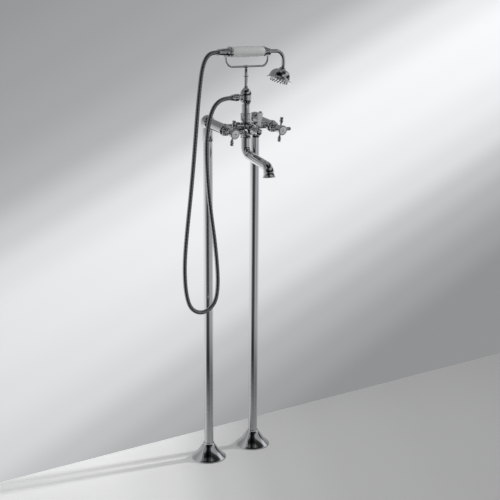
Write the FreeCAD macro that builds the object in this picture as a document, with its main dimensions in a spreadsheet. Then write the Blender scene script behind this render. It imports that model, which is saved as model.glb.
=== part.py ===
"""Floor standing bath filler: two standpipes, a mixer with a diverter, a swan-neck spout and a handset.

Millimetres. The origin is on the floor midway between the standpipes, +Z up, -Y to the front, +X to the
right as seen from the front.
"""

import FreeCAD
import Part
import math
import os
import Sketcher
from types import SimpleNamespace
from FreeCAD import Placement, Rotation, Vector

DIMENSIONS = [
    # whole object
    ("pillar_spacing", 150.0, "between the axes of the two standpipes"),
    ("reach", 60.0, "riser and spout axis in front of the standpipes"),
    ("arm_tilt", 9.5, "degrees that the valve barrels slope down to the front"),
    ("mixer_height", 902.0, "floor to the axis of the mixer body"),
    ("slip", 0.05, "radial clearance of a shaft or spigot in its bore"),
    ("air", 0.3, "gap between faces of pieces that move past each other"),
    ("edge", 1.0, "broken edge of a turned piece"),
    ("pin_depth", 8.0, "depth of a plain spigot or pin in the piece that holds it"),
    # floor socket and bell cover
    ("socket_dia", 82.0, "floor socket's plate"),
    ("socket_plate", 4.0, "thickness of that plate"),
    ("boss_dia", 32.0, "floor socket's boss"),
    ("boss_over", 4.0, "grub screw's axis to the top of the boss"),
    ("pipe_stop", 1.5, "shoulder between the supply thread and the standpipe"),
    ("inlet_dia", 18.6, "bore of the G1/2 supply thread"),
    ("inlet_depth", 9.0, "depth of the supply thread"),
    ("waterway_dia", 15.0, "water way through the socket, head and riser"),
    ("screw_spacing", 62.0, "between the two floor screws of a socket"),
    ("screw_hole", 5.5, "diameter of a floor screw's hole"),
    ("grub_dia", 5.0, "grub screw that holds the standpipe"),
    ("grub_rise", 5.0, "seal to the grub screw's axis"),
    ("seal_rise", 3.0, "end of the standpipe to its seal"),
    ("seal_dia", 1.8, "thickness of a seal ring"),
    ("bell_dia", 94.0, "foot of the bell cover"),
    ("bell_rim", 5.0, "height of the bell cover's straight rim"),
    ("bell_waist_dia", 60.0, "where the bell's shoulder turns into its throat"),
    ("bell_waist", 17.0, "height of that turn"),
    ("bell_throat", 34.0, "height where the throat meets the bell's collar"),
    ("bell_height", 40.0, "height of the bell cover"),
    ("bell_wall", 1.5, "wall of the bell cover"),
    # standpipe and its sleeve
    ("pipe_dia", 25.0, "standpipe's outside diameter"),
    ("pipe_wall", 1.5, "standpipe's wall"),
    ("sleeve_wall", 1.4, "wall of the sleeve at the top of the standpipe"),
    ("sleeve_length", 29.0, "length of that sleeve"),
    # valve body
    ("ball_dia", 37.5, "ball on top of the standpipe"),
    ("neck_drop", 19.0, "ball's centre to the shoulder that sits on the standpipe"),
    ("neck_dia", 26.0, "neck between shoulder and ball"),
    ("spigot_length", 22.0, "valve body's spigot inside the standpipe"),
    ("barrel_dia", 26.6, "valve barrel"),
    ("barrel_past", 10.2, "axis of the cross stub to the barrel's front face"),
    ("seat_wall", 2.6, "wall of the valve seat"),
    ("seat_depth", 24.4, "barrel's front face back to the valve seat"),
    ("seat_port", 9.0, "bore through the valve seat"),
    ("chamber_dia", 20.8, "bore that takes the cartridge"),
    ("stub_dia", 19.2, "cross stub from the barrel to the mixer body"),
    ("stub_collar", 22.0, "collar at the end of the stub"),
    ("stub_collar_length", 2.5, "length of that collar"),
    ("cross_port", 12.0, "bore of the cross stub"),
    # valve cartridge
    ("cartridge_neck", 13.0, "cartridge's neck"),
    ("cartridge_length", 15.0, "barrel's front face to the end of the neck"),
    ("disc_cavity", 16.1, "bore that holds the two ceramic discs"),
    ("disc_dia", 16.0, "ceramic disc"),
    ("disc_thick", 3.0, "thickness of a ceramic disc"),
    ("disc_port", 5.0, "water port in a ceramic disc"),
    ("port_offset", 4.5, "disc's axis to its port"),
    ("cavity_depth", 13.0, "barrel's front face back to the end of the disc cavity"),
    ("window_dia", 4.0, "side window of the cartridge"),
    ("spindle_dia", 8.0, "valve spindle"),
    ("foot_thick", 2.8, "spindle's foot, which turns the disc"),
    ("spindle_length", 33.0, "barrel's front face to the front of the spindle"),
    ("handle_screw", 4.0, "thread of the handle's screw"),
    ("handle_screw_head", 8.4, "head of the handle's screw"),
    ("handle_screw_depth", 9.0, "length of that screw in the spindle"),
    # bonnet between barrel and handle
    ("bonnet_flange", 30.4, "flange against the barrel"),
    ("bonnet_flange_thick", 3.0, "thickness of that flange"),
    ("bonnet_throat", 20.4, "throat behind the ring"),
    ("bonnet_ring", 23.6, "ring of the bonnet"),
    ("bonnet_ring_place", 10.0, "barrel's front face to the ring"),
    ("bonnet_ring_width", 5.0, "width of the ring"),
    ("bonnet_nose", 18.0, "nose in front of the ring"),
    ("bonnet_length", 21.0, "barrel's front face to the front of the bonnet"),
    # cross handle and index
    ("hub_back_dia", 15.6, "back of the handle's hub"),
    ("hub_dia", 21.0, "handle's hub"),
    ("hub_taper", 10.4, "length of the hub's taper at its back"),
    ("hub_length", 22.4, "length of the hub"),
    ("screw_recess", 10.4, "recess in the hub over the screw"),
    ("spoke_drop", 6.5, "front of the hub back to the plane of the spokes"),
    ("spoke_neck", 4.8, "thin end of a spoke"),
    ("spoke_neck_end", 13.5, "hub's axis to where the spoke starts to swell"),
    ("spoke_swell", 9.4, "thickest part of a spoke"),
    ("spoke_swell_place", 22.0, "hub's axis to that thickest part"),
    ("spoke_groove", 6.4, "groove behind the end bead"),
    ("spoke_groove_place", 24.6, "hub's axis to the groove"),
    ("spoke_tip", 29.4, "hub's axis to the tip of a spoke"),
    ("bezel_dia", 25.6, "chrome bezel of the index"),
    ("bezel_depth", 5.0, "depth of the bezel"),
    ("bezel_floor", 2.0, "floor of the bezel"),
    ("index_dia", 21.6, "white index disc"),
    ("index_edge", 2.2, "thickness of the index disc at its edge"),
    ("index_crown", 1.2, "rise of the index disc's dome"),
    # mixer body
    ("mixer_ball", 34.0, "ball of the mixer body"),
    ("mixer_socket_dia", 26.0, "lower neck, which takes the spout"),
    ("mixer_drop", 21.0, "ball's centre to the lower end"),
    ("mixer_neck_dia", 24.0, "upper neck"),
    ("mixer_rise", 19.0, "ball's centre to the top flange's upper face"),
    ("mixer_flange", 28.6, "top flange"),
    ("mixer_flange_thick", 3.5, "thickness of the top flange"),
    ("riser_thread", 20.8, "thread that takes the riser nut"),
    ("riser_thread_length", 9.0, "length of that thread"),
    ("cross_thread", 21.2, "side spigots that take the union nuts"),
    ("cross_length", 31.0, "mixer axis to the end of a side spigot"),
    ("washer_thick", 1.0, "washer of a union"),
    ("union_dia", 26.4, "union nut"),
    ("union_lip", 2.5, "union nut's lip behind the stub's collar"),
    ("union_length", 15.0, "length of the union nut"),
    # diverter: distances along its barrel start at the mixer's axis
    ("diverter_boss", 24.4, "diverter barrel of the mixer body"),
    ("diverter_boss_end", 24.0, "mixer axis to the front of that barrel"),
    ("drum_dia", 17.8, "ported drum of the diverter"),
    ("drum_start", 7.0, "mixer axis to the back of the drum"),
    ("drum_back", 2.0, "front of the diverter barrel back to the drum"),
    ("diverter_shaft", 7.0, "diverter spindle's shaft"),
    ("diverter_bell", 29.0, "flared rim of the diverter's bonnet"),
    ("diverter_bell_thick", 3.5, "width of that rim"),
    ("diverter_nose", 15.0, "nose of the diverter's bonnet"),
    ("diverter_nose_length", 6.0, "length of that nose"),
    ("diverter_bonnet_length", 19.0, "length of the bonnet"),
    ("drum_port", 8.0, "water way through the drum"),
    ("lever_hub_dia", 17.0, "hub of the lever"),
    ("lever_hub_length", 17.4, "length of the lever's hub"),
    ("lever_hub_wall", 4.0, "front wall of the lever's hub"),
    ("lever_place", 9.1, "back of the lever's hub to the lever's own axis"),
    ("lever_collar", 9.6, "collar between hub and lever"),
    ("lever_base", 16.5, "lever hub's axis to the foot of the ceramic lever"),
    ("lever_foot_dia", 8.4, "ceramic lever at its foot"),
    ("lever_head_dia", 14.2, "ceramic lever at its widest"),
    ("lever_crown", 4.0, "height of the ceramic lever above its widest part"),
    ("lever_length", 33.5, "length of the ceramic lever"),
    ("lever_pin", 3.6, "pin through the ceramic lever"),
    ("lever_cap_dia", 8.8, "cap on the lever"),
    ("lever_cap_height", 2.6, "height of that cap"),
    # spout: heights below the mixer's axis, then its route to the front
    ("spout_tail", 20.0, "spigot that turns in the mixer body"),
    ("spout_tail_length", 10.0, "length of that spigot"),
    ("spout_flange", 25.2, "flange under the mixer body"),
    ("spout_flange_thick", 2.6, "thickness of the flange"),
    ("spout_dia", 24.0, "spout tube"),
    ("spout_wall", 2.0, "wall of the spout"),
    ("spout_nut", 29.6, "nut that holds the spout"),
    ("nut_lip", 4.8, "lower wall of that nut"),
    ("spout_nut_length", 13.5, "length of that nut"),
    ("spout_knee", 68.5, "mixer's axis down to the corner of the first bend"),
    ("spout_slope", 14.0, "degrees that the spout falls between its bends"),
    ("spout_run", 94.0, "riser axis to the corner of the last bend"),
    ("spout_knee_bend", 24.0, "radius of the first bend"),
    ("spout_end_bend", 17.0, "radius of the last bend"),
    ("spout_end_angle", 82.0, "degrees below the horizontal where the mouth points"),
    ("spout_end_dia", 28.0, "spout where its mouth starts"),
    ("mouth_dia", 34.0, "lip of the mouth"),
    ("mouth_length", 14.0, "length of the mouth"),
    ("lip_thick", 2.6, "bead round the lip"),
    ("lip_stand", 1.2, "how far that bead stands out"),
    ("former_thick", 6.0, "flow straightener in the mouth"),
    # riser
    ("riser_nut_dia", 28.2, "riser nut"),
    ("riser_nut_lip", 3.2, "riser nut's lip over its flange"),
    ("riser_flange", 24.2, "flange inside the riser nut"),
    ("riser_flange_thick", 2.8, "thickness of that flange"),
    ("riser_base_dia", 21.8, "cylinder above the riser nut"),
    ("riser_base_length", 27.5, "length of that cylinder, with its flange"),
    ("bulb_neck", 18.4, "neck under the bulb"),
    ("bulb_dia", 31.0, "bulb at its widest"),
    ("bulb_widest", 17.5, "bulb's foot to its widest part"),
    ("bulb_waist_dia", 17.0, "where the bulb turns into its slender top"),
    ("bulb_waist", 39.0, "bulb's foot to that turn"),
    ("bulb_top_dia", 9.2, "top of the bulb"),
    ("bulb_height", 46.0, "bulb's foot to its top"),
    ("outlet_rise", 18.0, "bulb's foot to the hose outlet's axis"),
    ("outlet_boss", 16.0, "hose outlet of the bulb"),
    ("outlet_boss_end", 22.0, "riser axis to the end of that outlet"),
    ("union_collar", 19.4, "hexagon of the hose union across its corners"),
    ("union_collar_length", 4.0, "length of that hexagon"),
    ("hose_thread", 14.6, "thread of the hose union"),
    ("hose_thread_length", 9.0, "length of that thread"),
    ("hose_bore", 8.0, "bore of the hose union"),
    # cradle
    ("stem_dia", 8.6, "stem of the cradle"),
    ("stem_collar_dia", 12.8, "collar half way up the stem"),
    ("stem_collar_height", 23.0, "stem's foot to that collar"),
    ("stem_collar_thick", 2.6, "thickness of the collar"),
    ("stem_pin", 6.0, "pin at the foot of the stem"),
    ("stem_flare", 8.0, "height of the stem's flare under the fork"),
    ("stem_flare_dia", 12.6, "that flare where it meets the fork"),
    ("stem_length", 48.5, "bulb's top to the middle of the fork's bar"),
    ("fork_drop", 36.0, "handset's axis down to the fork's bar"),
    ("fork_dia", 5.6, "rod of the fork"),
    ("fork_middle", 8.6, "fork's bar where it meets the stem"),
    ("fork_swell", 26.0, "half length of the swelling in the bar"),
    ("fork_bend", 19.0, "radius of the fork's bends"),
    ("claw_gap", 3.0, "claw at the hose end to the rear ring's flare"),
    ("claw_width", 5.0, "width of a claw"),
    ("claw_thick", 3.2, "thickness of a claw"),
    # handset: distances along its axis start at the riser's axis
    ("tail_dia", 19.4, "tail of the rear ring"),
    ("tail_length", 15.0, "length of that tail"),
    ("rear_ring_depth", 9.0, "length of the rear ring's flare"),
    ("rear_ring_dia", 28.4, "rear ring"),
    ("grip_start", -47.0, "hose end of the ceramic grip"),
    ("grip_length", 105.0, "length of the ceramic grip"),
    ("grip_end_dia", 26.4, "ceramic grip at its ends"),
    ("grip_bow", 0.01, "bow of the grip's side, as a share of its length"),
    ("grip_wall", 6.0, "wall of the ceramic grip at its ends"),
    ("core_dia", 10.0, "tube through the grip"),
    ("core_wall", 1.2, "wall of that tube"),
    ("core_stand", 4.0, "how far that tube stands into the front ring"),
    ("front_ring_dia", 26.4, "front ring"),
    ("front_ring_width", 3.4, "width of the front ring's rim"),
    ("ferrule_dia", 16.0, "ferrule that lies in the front claw"),
    ("ferrule_place", 7.5, "rose end of the grip to the ferrule"),
    ("ferrule_length", 7.5, "length of that ferrule"),
    ("neck_tube", 10.6, "bent neck of the handset"),
    ("neck_tube_wall", 1.2, "wall of that neck"),
    ("neck_seat", 3.0, "how far that neck stands into the rose's collar"),
    ("neck_reach", 60.0, "rose end of the grip to the corner of the neck's bend"),
    ("neck_bend", 15.0, "radius of the neck's bend"),
    ("rose_tilt", 20.0, "degrees that the rose leans from straight down"),
    ("rose_drop", 42.0, "handset's axis down to the corner above the rose"),
    ("rose_corner_bend", 20.0, "radius of the small bend above the rose"),
    ("rose_depth", 32.0, "that corner to the rose's face"),
    ("rose_dia", 68.0, "rim of the rose"),
    ("rose_rim", 2.0, "height of the rim"),
    ("dome_dia", 60.0, "rose's dome above the brim"),
    ("dome_start", 5.5, "face to the foot of the dome"),
    ("dome_rise", 18.5, "height of the dome"),
    ("rose_collar", 18.0, "collar on top of the dome"),
    ("rose_collar_height", 3.5, "height of that collar"),
    ("rose_wall", 2.0, "wall of the rose"),
    ("plate_dia", 60.0, "nozzle plate"),
    ("plate_thick", 2.5, "thickness of the nozzle plate"),
    # hose
    ("hose_dia", 13.0, "shower hose"),
    ("hose_nut_ring", 19.4, "grip ring of a hose nut"),
    ("hose_nut_ring_length", 8.0, "length of that ring"),
    ("hose_nut_end", 15.4, "hose end of a hose nut"),
    ("lower_nut_length", 19.5, "length of the lower hose nut"),
    ("upper_nut_length", 16.0, "length of the upper hose nut"),
]

# The hose hangs from the handset in the plane of the riser: X and height of the route's points, in order
# from the handset to the riser's outlet. The two ends are worked out from the nuts, and the first and the
# last point here give only their X, so that the hose leaves its nuts straight.
HOSE_ROUTE = [
    (-107.8, 1088.0),
    (-127.5, 1080.1),
    (-141.8, 1064.6),
    (-151.4, 1040.5),
    (-157.1, 1005.6),
    (-164.9, 940.1),
    (-174.4, 850.0),
    (-182.9, 750.0),
    (-188.6, 655.0),
    (-191.5, 580.0),
    (-188.9, 527.1),
    (-184.4, 487.3),
    (-175.0, 455.0),
    (-155.5, 437.3),
    (-130.5, 432.5),
    (-106.6, 441.5),
    (-90.8, 461.5),
    (-85.7, 499.7),
    (-88.1, 545.0),
    (-95.7, 615.0),
    (-107.2, 680.0),
    (-116.2, 745.0),
    (-120.5, 805.0),
    (-121.6, 858.0),
    (-117.0, 904.8),
    (-108.6, 936.9),
    (-94.1, 962.6),
    (-69.7, 975.5),
]


class Size:
    """A length or an angle: its value, and the spreadsheet formula that it comes from."""

    def __init__(self, value, formula):
        self.value = value
        self.formula = formula

    def __add__(self, other):
        return Size(self.value + number(other), f"({self.formula} + {formula(other)})")

    def __radd__(self, other):
        return Size(number(other) + self.value, f"({formula(other)} + {self.formula})")

    def __sub__(self, other):
        return Size(self.value - number(other), f"({self.formula} - {formula(other)})")

    def __rsub__(self, other):
        return Size(number(other) - self.value, f"({formula(other)} - {self.formula})")

    def __mul__(self, other):
        return Size(self.value * number(other), f"({self.formula} * {formula(other)})")

    def __rmul__(self, other):
        return Size(number(other) * self.value, f"({formula(other)} * {self.formula})")

    def __truediv__(self, other):
        return Size(self.value / number(other), f"({self.formula} / {formula(other)})")

    def __neg__(self):
        return 0 - self


def number(size):
    return size.value if isinstance(size, Size) else size


def formula(size):
    return size.formula if isinstance(size, Size) else repr(size)


def sine(angle):
    return Size(math.sin(math.radians(angle.value)), f"sin({angle.formula} * 1 deg)")


def cosine(angle):
    return Size(math.cos(math.radians(angle.value)), f"cos({angle.formula} * 1 deg)")


def tangent(angle):
    return sine(angle) / cosine(angle)


doc = FreeCAD.newDocument("BathFiller")
sheet = doc.addObject("Spreadsheet::Sheet", "Dimensions")
for row, (name, value, meaning) in enumerate(DIMENSIONS, start=1):
    sheet.set(f"A{row}", meaning)
    sheet.set(f"B{row}", str(value))
    sheet.setAlias(f"B{row}", name)
doc.recompute()
d = SimpleNamespace(**{name: Size(value, f"Dimensions.{name}") for name, value, meaning in DIMENSIONS})

SIDES = {"left": -1, "right": 1}
head_height = d.mixer_height + d.reach * tangent(d.arm_tilt)
pipe_top = head_height - d.neck_drop
mixer_top = d.mixer_height + d.mixer_rise
thread_top = mixer_top + d.riser_thread_length
base_top = thread_top + d.riser_base_length
bulb_top = base_top + d.bulb_height
outlet_height = base_top + d.outlet_rise
bar_height = bulb_top + d.stem_length
handset_height = bar_height + d.fork_drop
grip_end = d.grip_start + d.grip_length
rear_ring_start = d.grip_start - d.rear_ring_depth
tail_start = rear_ring_start - d.tail_length
ferrule_start = grip_end + d.ferrule_place
rear_claw = rear_ring_start - d.claw_gap - d.claw_width / 2
front_claw = ferrule_start + (d.claw_width + d.edge) / 2
upper_nut_end = tail_start - d.upper_nut_length
neck_bend_at = grip_end + d.neck_reach


def bind(owner, path, size):
    """Sets a property to a size and ties it to the spreadsheet."""
    if isinstance(size, Size):
        owner.setExpression(path, size.formula)
    else:
        setattr(owner, path, size)


class Frame:
    """Where a piece is set: a point, the turn about one axis, and the way that its own Z then points."""

    def __init__(self, at, axis=Vector(0, 0, 1), turn=0.0, way=(0, 0, 1)):
        self.at, self.axis, self.turn, self.way = at, axis, turn, way

    def put(self, owner, along=0):
        at = [start + along * step for start, step in zip(self.at, self.way)]
        place = Vector(*[number(size) for size in at])
        owner.Placement = Placement(place, Rotation(self.axis, number(self.turn)))
        for letter, size in zip("xyz", at):
            if isinstance(size, Size):
                owner.setExpression(f"Placement.Base.{letter}", size.formula)
        if isinstance(self.turn, Size):
            owner.setExpression("Placement.Rotation.Angle", self.turn.formula)
        return owner


ALONG_X = Vector(1, 0, 0)
ALONG_Y = Vector(0, 1, 0)
arm_way = (0, -cosine(d.arm_tilt), -sine(d.arm_tilt))


def pillar_frame(side):
    return Frame((side * d.pillar_spacing / 2, 0, 0))


def arm_frame(side):
    return Frame((side * d.pillar_spacing / 2, 0, head_height), ALONG_X, 90 + d.arm_tilt, arm_way)


def cross_frame(side):
    return Frame((0, -d.reach, d.mixer_height), ALONG_Y, 90.0 * side, (side, 0, 0))


riser_frame = Frame((0, -d.reach, 0))
diverter_frame = Frame((0, -d.reach, d.mixer_height), ALONG_X, 90 + d.arm_tilt, arm_way)
outlet_frame = Frame((0, -d.reach, outlet_height), ALONG_Y, -90.0, (-1, 0, 0))
handset_frame = Frame((0, -d.reach, handset_height), ALONG_Y, 90.0, (1, 0, 0))
rose_corner = (neck_bend_at, handset_height - d.rose_drop)
rose_frame = Frame(
    (
        rose_corner[0] - d.rose_depth * sine(d.rose_tilt),
        -d.reach,
        rose_corner[1] - d.rose_depth * cosine(d.rose_tilt),
    ),
    ALONG_Y,
    d.rose_tilt,
    (sine(d.rose_tilt), 0, cosine(d.rose_tilt)),
)

subparts = {}


def keep(name, owner):
    """Names a finished sub-part; its name is its file's name."""
    owner.Label = name
    subparts[name] = owner
    return owner


# Outlines are lists of points (across, up). A third number bows the edge that ends there, to the right of
# its way, by that share of the edge's length.


def hold_point(sketch, geometry, end, point):
    """Fixes a point of the sketch at its two sizes."""
    kinds = (("DistanceX", -2), ("DistanceY", -1))
    for (kind, axis_line), size in zip(kinds, point):
        value = number(size)
        if abs(value) < 1e-9:
            sketch.addConstraint(Sketcher.Constraint("PointOnObject", geometry, end, axis_line))
            continue
        ends = (-1, 1, geometry, end) if value > 0 else (geometry, end, -1, 1)
        place = sketch.addConstraint(Sketcher.Constraint(kind, *ends, abs(value)))
        if isinstance(size, Size):
            sketch.setExpression(f"Constraints[{place}]", (size if value > 0 else -size).formula)


def bowed(start, end, bow):
    """The middle point of an edge that bows to the right of its way."""
    across = (start[0] + end[0]) / 2 + bow * (end[1] - start[1])
    up = (start[1] + end[1]) / 2 - bow * (end[0] - start[0])
    return across, up


def draw_outline(body, name, plane, outline, offset=None):
    """A closed sketch through the outline's points on one of the body's own planes."""
    sketch = body.newObject("Sketcher::SketchObject", name)
    origin_plane = [f for f in body.Origin.OriginFeatures if f.Role == plane][0]
    sketch.AttachmentSupport = [(origin_plane, "")]
    sketch.MapMode = "FlatFace"
    if offset is not None:
        sketch.AttachmentOffset = Placement(Vector(0, number(offset), 0), Rotation())
        sketch.setExpression("AttachmentOffset.Base.y", offset.formula)
    edges = []
    for index, point in enumerate(outline):
        start = outline[index - 1]
        first, last = (Vector(number(p[0]), number(p[1]), 0) for p in (start, point))
        if len(point) == 2:
            edge = sketch.addGeometry(Part.LineSegment(first, last), False)
            edges.append((edge, 1, 2, start, None))
            continue
        middle = bowed(start, point, point[2])
        through = Vector(number(middle[0]), number(middle[1]), 0)
        circle = Part.Circle(first, through, last)
        centre = circle.Center
        turns = [math.atan2(p.y - centre.y, p.x - centre.x) for p in (first, last)]
        ends = (1, 2) if point[2] > 0 else (2, 1)
        if point[2] < 0:
            turns.reverse()
        flat = Part.Circle(centre, Vector(0, 0, 1), circle.Radius)
        edge = sketch.addGeometry(Part.ArcOfCircle(flat, *turns), False)
        edges.append((edge, *ends, start, middle))
    for index, (edge, begin, end, start, middle) in enumerate(edges):
        following, following_begin = edges[(index + 1) % len(edges)][:2]
        sketch.addConstraint(Sketcher.Constraint("Coincident", edge, end, following, following_begin))
        hold_point(sketch, edge, begin, start)
        if middle is not None:
            dot = sketch.addGeometry(Part.Point(Vector(number(middle[0]), number(middle[1]), 0)), True)
            sketch.addConstraint(Sketcher.Constraint("PointOnObject", dot, 1, edge))
            hold_point(sketch, dot, 1, middle)
    return sketch


def revolve(body, sketch, axis="V_Axis"):
    turn = body.newObject("PartDesign::Revolution", f"{sketch.Name}_turned")
    turn.Profile = (sketch, [""])
    turn.ReferenceAxis = (sketch, [axis])
    turn.Angle = 360
    return turn


def turned(name, outline, frame):
    """A body turned about its own Z from one outline of radii and heights."""
    body = doc.addObject("PartDesign::Body", name)
    revolve(body, draw_outline(body, f"{name}_outline", "XZ_Plane", outline))
    return frame.put(body)


def bored(body, name, plane, circles, both_ways=False, reverse=False):
    """Cuts round holes, each a centre and a diameter, all through the body."""
    sketch = body.newObject("Sketcher::SketchObject", name)
    origin_plane = [f for f in body.Origin.OriginFeatures if f.Role == plane][0]
    sketch.AttachmentSupport = [(origin_plane, "")]
    sketch.MapMode = "FlatFace"
    for across, up, diameter in circles:
        centre = Vector(number(across), number(up), 0)
        circle = sketch.addGeometry(Part.Circle(centre, Vector(0, 0, 1), number(diameter) / 2), False)
        hold_point(sketch, circle, 3, (across, up))
        size = sketch.addConstraint(Sketcher.Constraint("Diameter", circle, number(diameter)))
        sketch.setExpression(f"Constraints[{size}]", diameter.formula)
    doc.recompute()
    hole = body.newObject("PartDesign::Pocket", f"{name}_cut")
    hole.Profile = (sketch, [""])
    hole.Type = "ThroughAll"
    hole.Midplane = both_ways
    hole.Reversed = reverse
    return hole


def cylinder(name, diameter, start, end, frame):
    solid = doc.addObject("Part::Cylinder", name)
    bind(solid, "Radius", diameter / 2)
    bind(solid, "Height", end - start)
    return frame.put(solid, start)


def ball(name, diameter, frame, along=0):
    solid = doc.addObject("Part::Sphere", name)
    bind(solid, "Radius", diameter / 2)
    return frame.put(solid, along)


def ring(name, thickness, inner, height, frame):
    """A seal ring, round in section, on the outside of a shaft."""
    solid = doc.addObject("Part::Torus", name)
    bind(solid, "Radius1", inner / 2 + thickness / 2)
    bind(solid, "Radius2", thickness / 2)
    return frame.put(solid, height)


def fuse(name, *pieces):
    joined = doc.addObject("Part::MultiFuse", name)
    joined.Shapes = list(pieces)
    return joined


def cut(name, base, *tools):
    """The base less the tools."""
    tool = tools[0] if len(tools) == 1 else fuse(f"{name}_tools", *tools)
    left = doc.addObject("Part::Cut", name)
    left.Base = base
    left.Tool = tool
    return left


def together(name, *pieces):
    """Like pieces that share a node, each a solid of its own."""
    group = doc.addObject("Part::Compound", name)
    group.Links = list(pieces)
    return keep(name, group)


def from_shape(name, shape):
    feature = doc.addObject("Part::Feature", name)
    feature.Shape = shape
    return feature


def bent_wire(points, radii):
    """Straight runs through the points, joined by tangent arcs: one radius for each inner point."""
    edges = []
    reached = points[0]
    for before, corner, after, radius in zip(points, points[1:], points[2:], radii):
        back = (before - corner).normalize()
        ahead = (after - corner).normalize()
        half = back.getAngle(ahead) / 2
        length = radius / math.tan(half)
        first, last = corner + back * length, corner + ahead * length
        centre = corner + (back + ahead).normalize() * (radius / math.sin(half))
        middle = centre + (corner - centre).normalize() * radius
        edges.append(Part.LineSegment(reached, first).toShape())
        edges.append(Part.Arc(first, middle, last).toShape())
        reached = last
    edges.append(Part.LineSegment(reached, points[-1]).toShape())
    return Part.Wire(edges)


def section_at(wire, diameter, end=False):
    """A round section square to the wire at its start or its end."""
    edge = wire.Edges[-1] if end else wire.Edges[0]
    place = edge.LastParameter if end else edge.FirstParameter
    way = edge.tangentAt(place)
    return Part.Wire(Part.Circle(edge.valueAt(place), way, diameter / 2).toShape())


def rod_along(wire, diameter, end_diameter=None):
    """A solid round rod along the wire; with an end diameter it swells steadily."""
    shell = Part.BRepOffsetAPI.MakePipeShell(wire)
    shell.add(section_at(wire, diameter))
    if end_diameter is not None:
        shell.add(section_at(wire, end_diameter, end=True))
    shell.build()
    shell.makeSolid()
    return shell.shape()


def in_riser_plane(across, up):
    return Vector(number(across), -number(d.reach), number(up))


# ---- Floor sockets: brass, screwed to the floor; each takes the supply below and the standpipe above.

pipe_bore = d.pipe_dia - 2 * d.pipe_wall
pipe_seat = d.inlet_depth + d.pipe_stop
seal_height = pipe_seat + d.seal_rise
grub_height = seal_height + d.grub_rise
boss_height = grub_height + d.boss_over
socket_bore = d.pipe_dia / 2 + d.slip
groove = d.pipe_dia / 2 + d.seal_dia + d.slip
half_seal = d.seal_dia / 2 + d.slip


def floor_socket(word, side):
    outline = [
        (d.inlet_dia / 2, 0),
        (d.socket_dia / 2, 0),
        (d.socket_dia / 2, d.socket_plate),
        (d.boss_dia / 2, d.socket_plate),
        (d.boss_dia / 2, boss_height),
        (socket_bore, boss_height),
        (socket_bore, seal_height + half_seal),
        (groove, seal_height + half_seal),
        (groove, seal_height - half_seal),
        (socket_bore, seal_height - half_seal),
        (socket_bore, pipe_seat),
        (d.waterway_dia / 2, pipe_seat),
        (d.waterway_dia / 2, d.inlet_depth),
        (d.inlet_dia / 2, d.inlet_depth),
    ]
    body = turned(f"floor_socket_{word}", outline, pillar_frame(side))
    half = d.screw_spacing / 2
    screws = [(0, half, d.screw_hole), (0, -half, d.screw_hole)]
    bored(body, f"screw_holes_{word}", "XY_Plane", screws, reverse=True)
    bored(body, f"grub_hole_{word}", "XZ_Plane", [(0, grub_height, d.grub_dia)])
    keep(f"floor_socket_{word}", body)


for word, side in SIDES.items():
    floor_socket(word, side)

together(
    "standpipe_seals",
    *[
        ring(f"standpipe_seal_{word}", d.seal_dia, d.pipe_dia, seal_height, pillar_frame(side))
        for word, side in SIDES.items()
    ],
)


def grub_screw(word, side):
    back = Frame((side * d.pillar_spacing / 2, 0, grub_height), ALONG_X, -90.0, (0, 1, 0))
    return cylinder(f"grub_screw_{word}", d.grub_dia - 2 * d.slip, socket_bore, d.boss_dia / 2, back)


together("pipe_grub_screws", *[grub_screw(word, side) for word, side in SIDES.items()])

# ---- Bell covers: spun brass, chromed; they slide down the standpipes and hide the sockets.

SHOULDER_BOW = 0.13
THROAT_BOW = -0.17


def bell_cover(word, side):
    bore = d.pipe_dia / 2 + d.slip
    collar = bore + d.bell_wall
    foot = d.bell_dia / 2
    waist = d.bell_waist_dia / 2
    outline = [
        (foot - d.bell_wall, 0),
        (foot, 0),
        (foot, d.bell_rim),
        (foot - d.bell_wall, d.bell_rim + d.bell_wall),
        (waist, d.bell_waist, SHOULDER_BOW),
        (collar, d.bell_throat, THROAT_BOW),
        (collar, d.bell_height),
        (bore, d.bell_height),
        (bore, d.bell_throat - d.bell_wall),
        (waist - d.bell_wall, d.bell_waist - d.bell_wall, -THROAT_BOW),
        (foot - 2 * d.bell_wall, d.bell_rim, -SHOULDER_BOW),
    ]
    keep(f"bell_cover_{word}", turned(f"bell_cover_{word}", outline, pillar_frame(side)))


# ---- Standpipes: chromed brass tube, with a plain sleeve under each valve body.


def standpipe(word, side):
    outline = [
        (pipe_bore / 2, pipe_seat),
        (d.pipe_dia / 2, pipe_seat),
        (d.pipe_dia / 2, pipe_top),
        (pipe_bore / 2, pipe_top),
    ]
    keep(f"standpipe_{word}", turned(f"standpipe_{word}", outline, pillar_frame(side)))


def pillar_sleeve(word, side):
    bore = d.pipe_dia / 2 + d.slip
    low = pipe_top - d.sleeve_length
    outline = [
        (bore, low),
        (bore + d.sleeve_wall / 2, low),
        (bore + d.sleeve_wall, low + d.sleeve_wall),
        (bore + d.sleeve_wall, pipe_top),
        (bore, pipe_top),
    ]
    keep(f"pillar_sleeve_{word}", turned(f"pillar_sleeve_{word}", outline, pillar_frame(side)))


# ---- Valve bodies: cast brass, chromed. A ball stands on the pipe, and the barrel slopes to the front.

stub_end = d.cross_length + d.washer_thick
barrel_end = d.reach / cosine(d.arm_tilt) + d.barrel_past
seat_end = barrel_end - d.seat_depth
seat_start = seat_end - d.seat_wall


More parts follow.
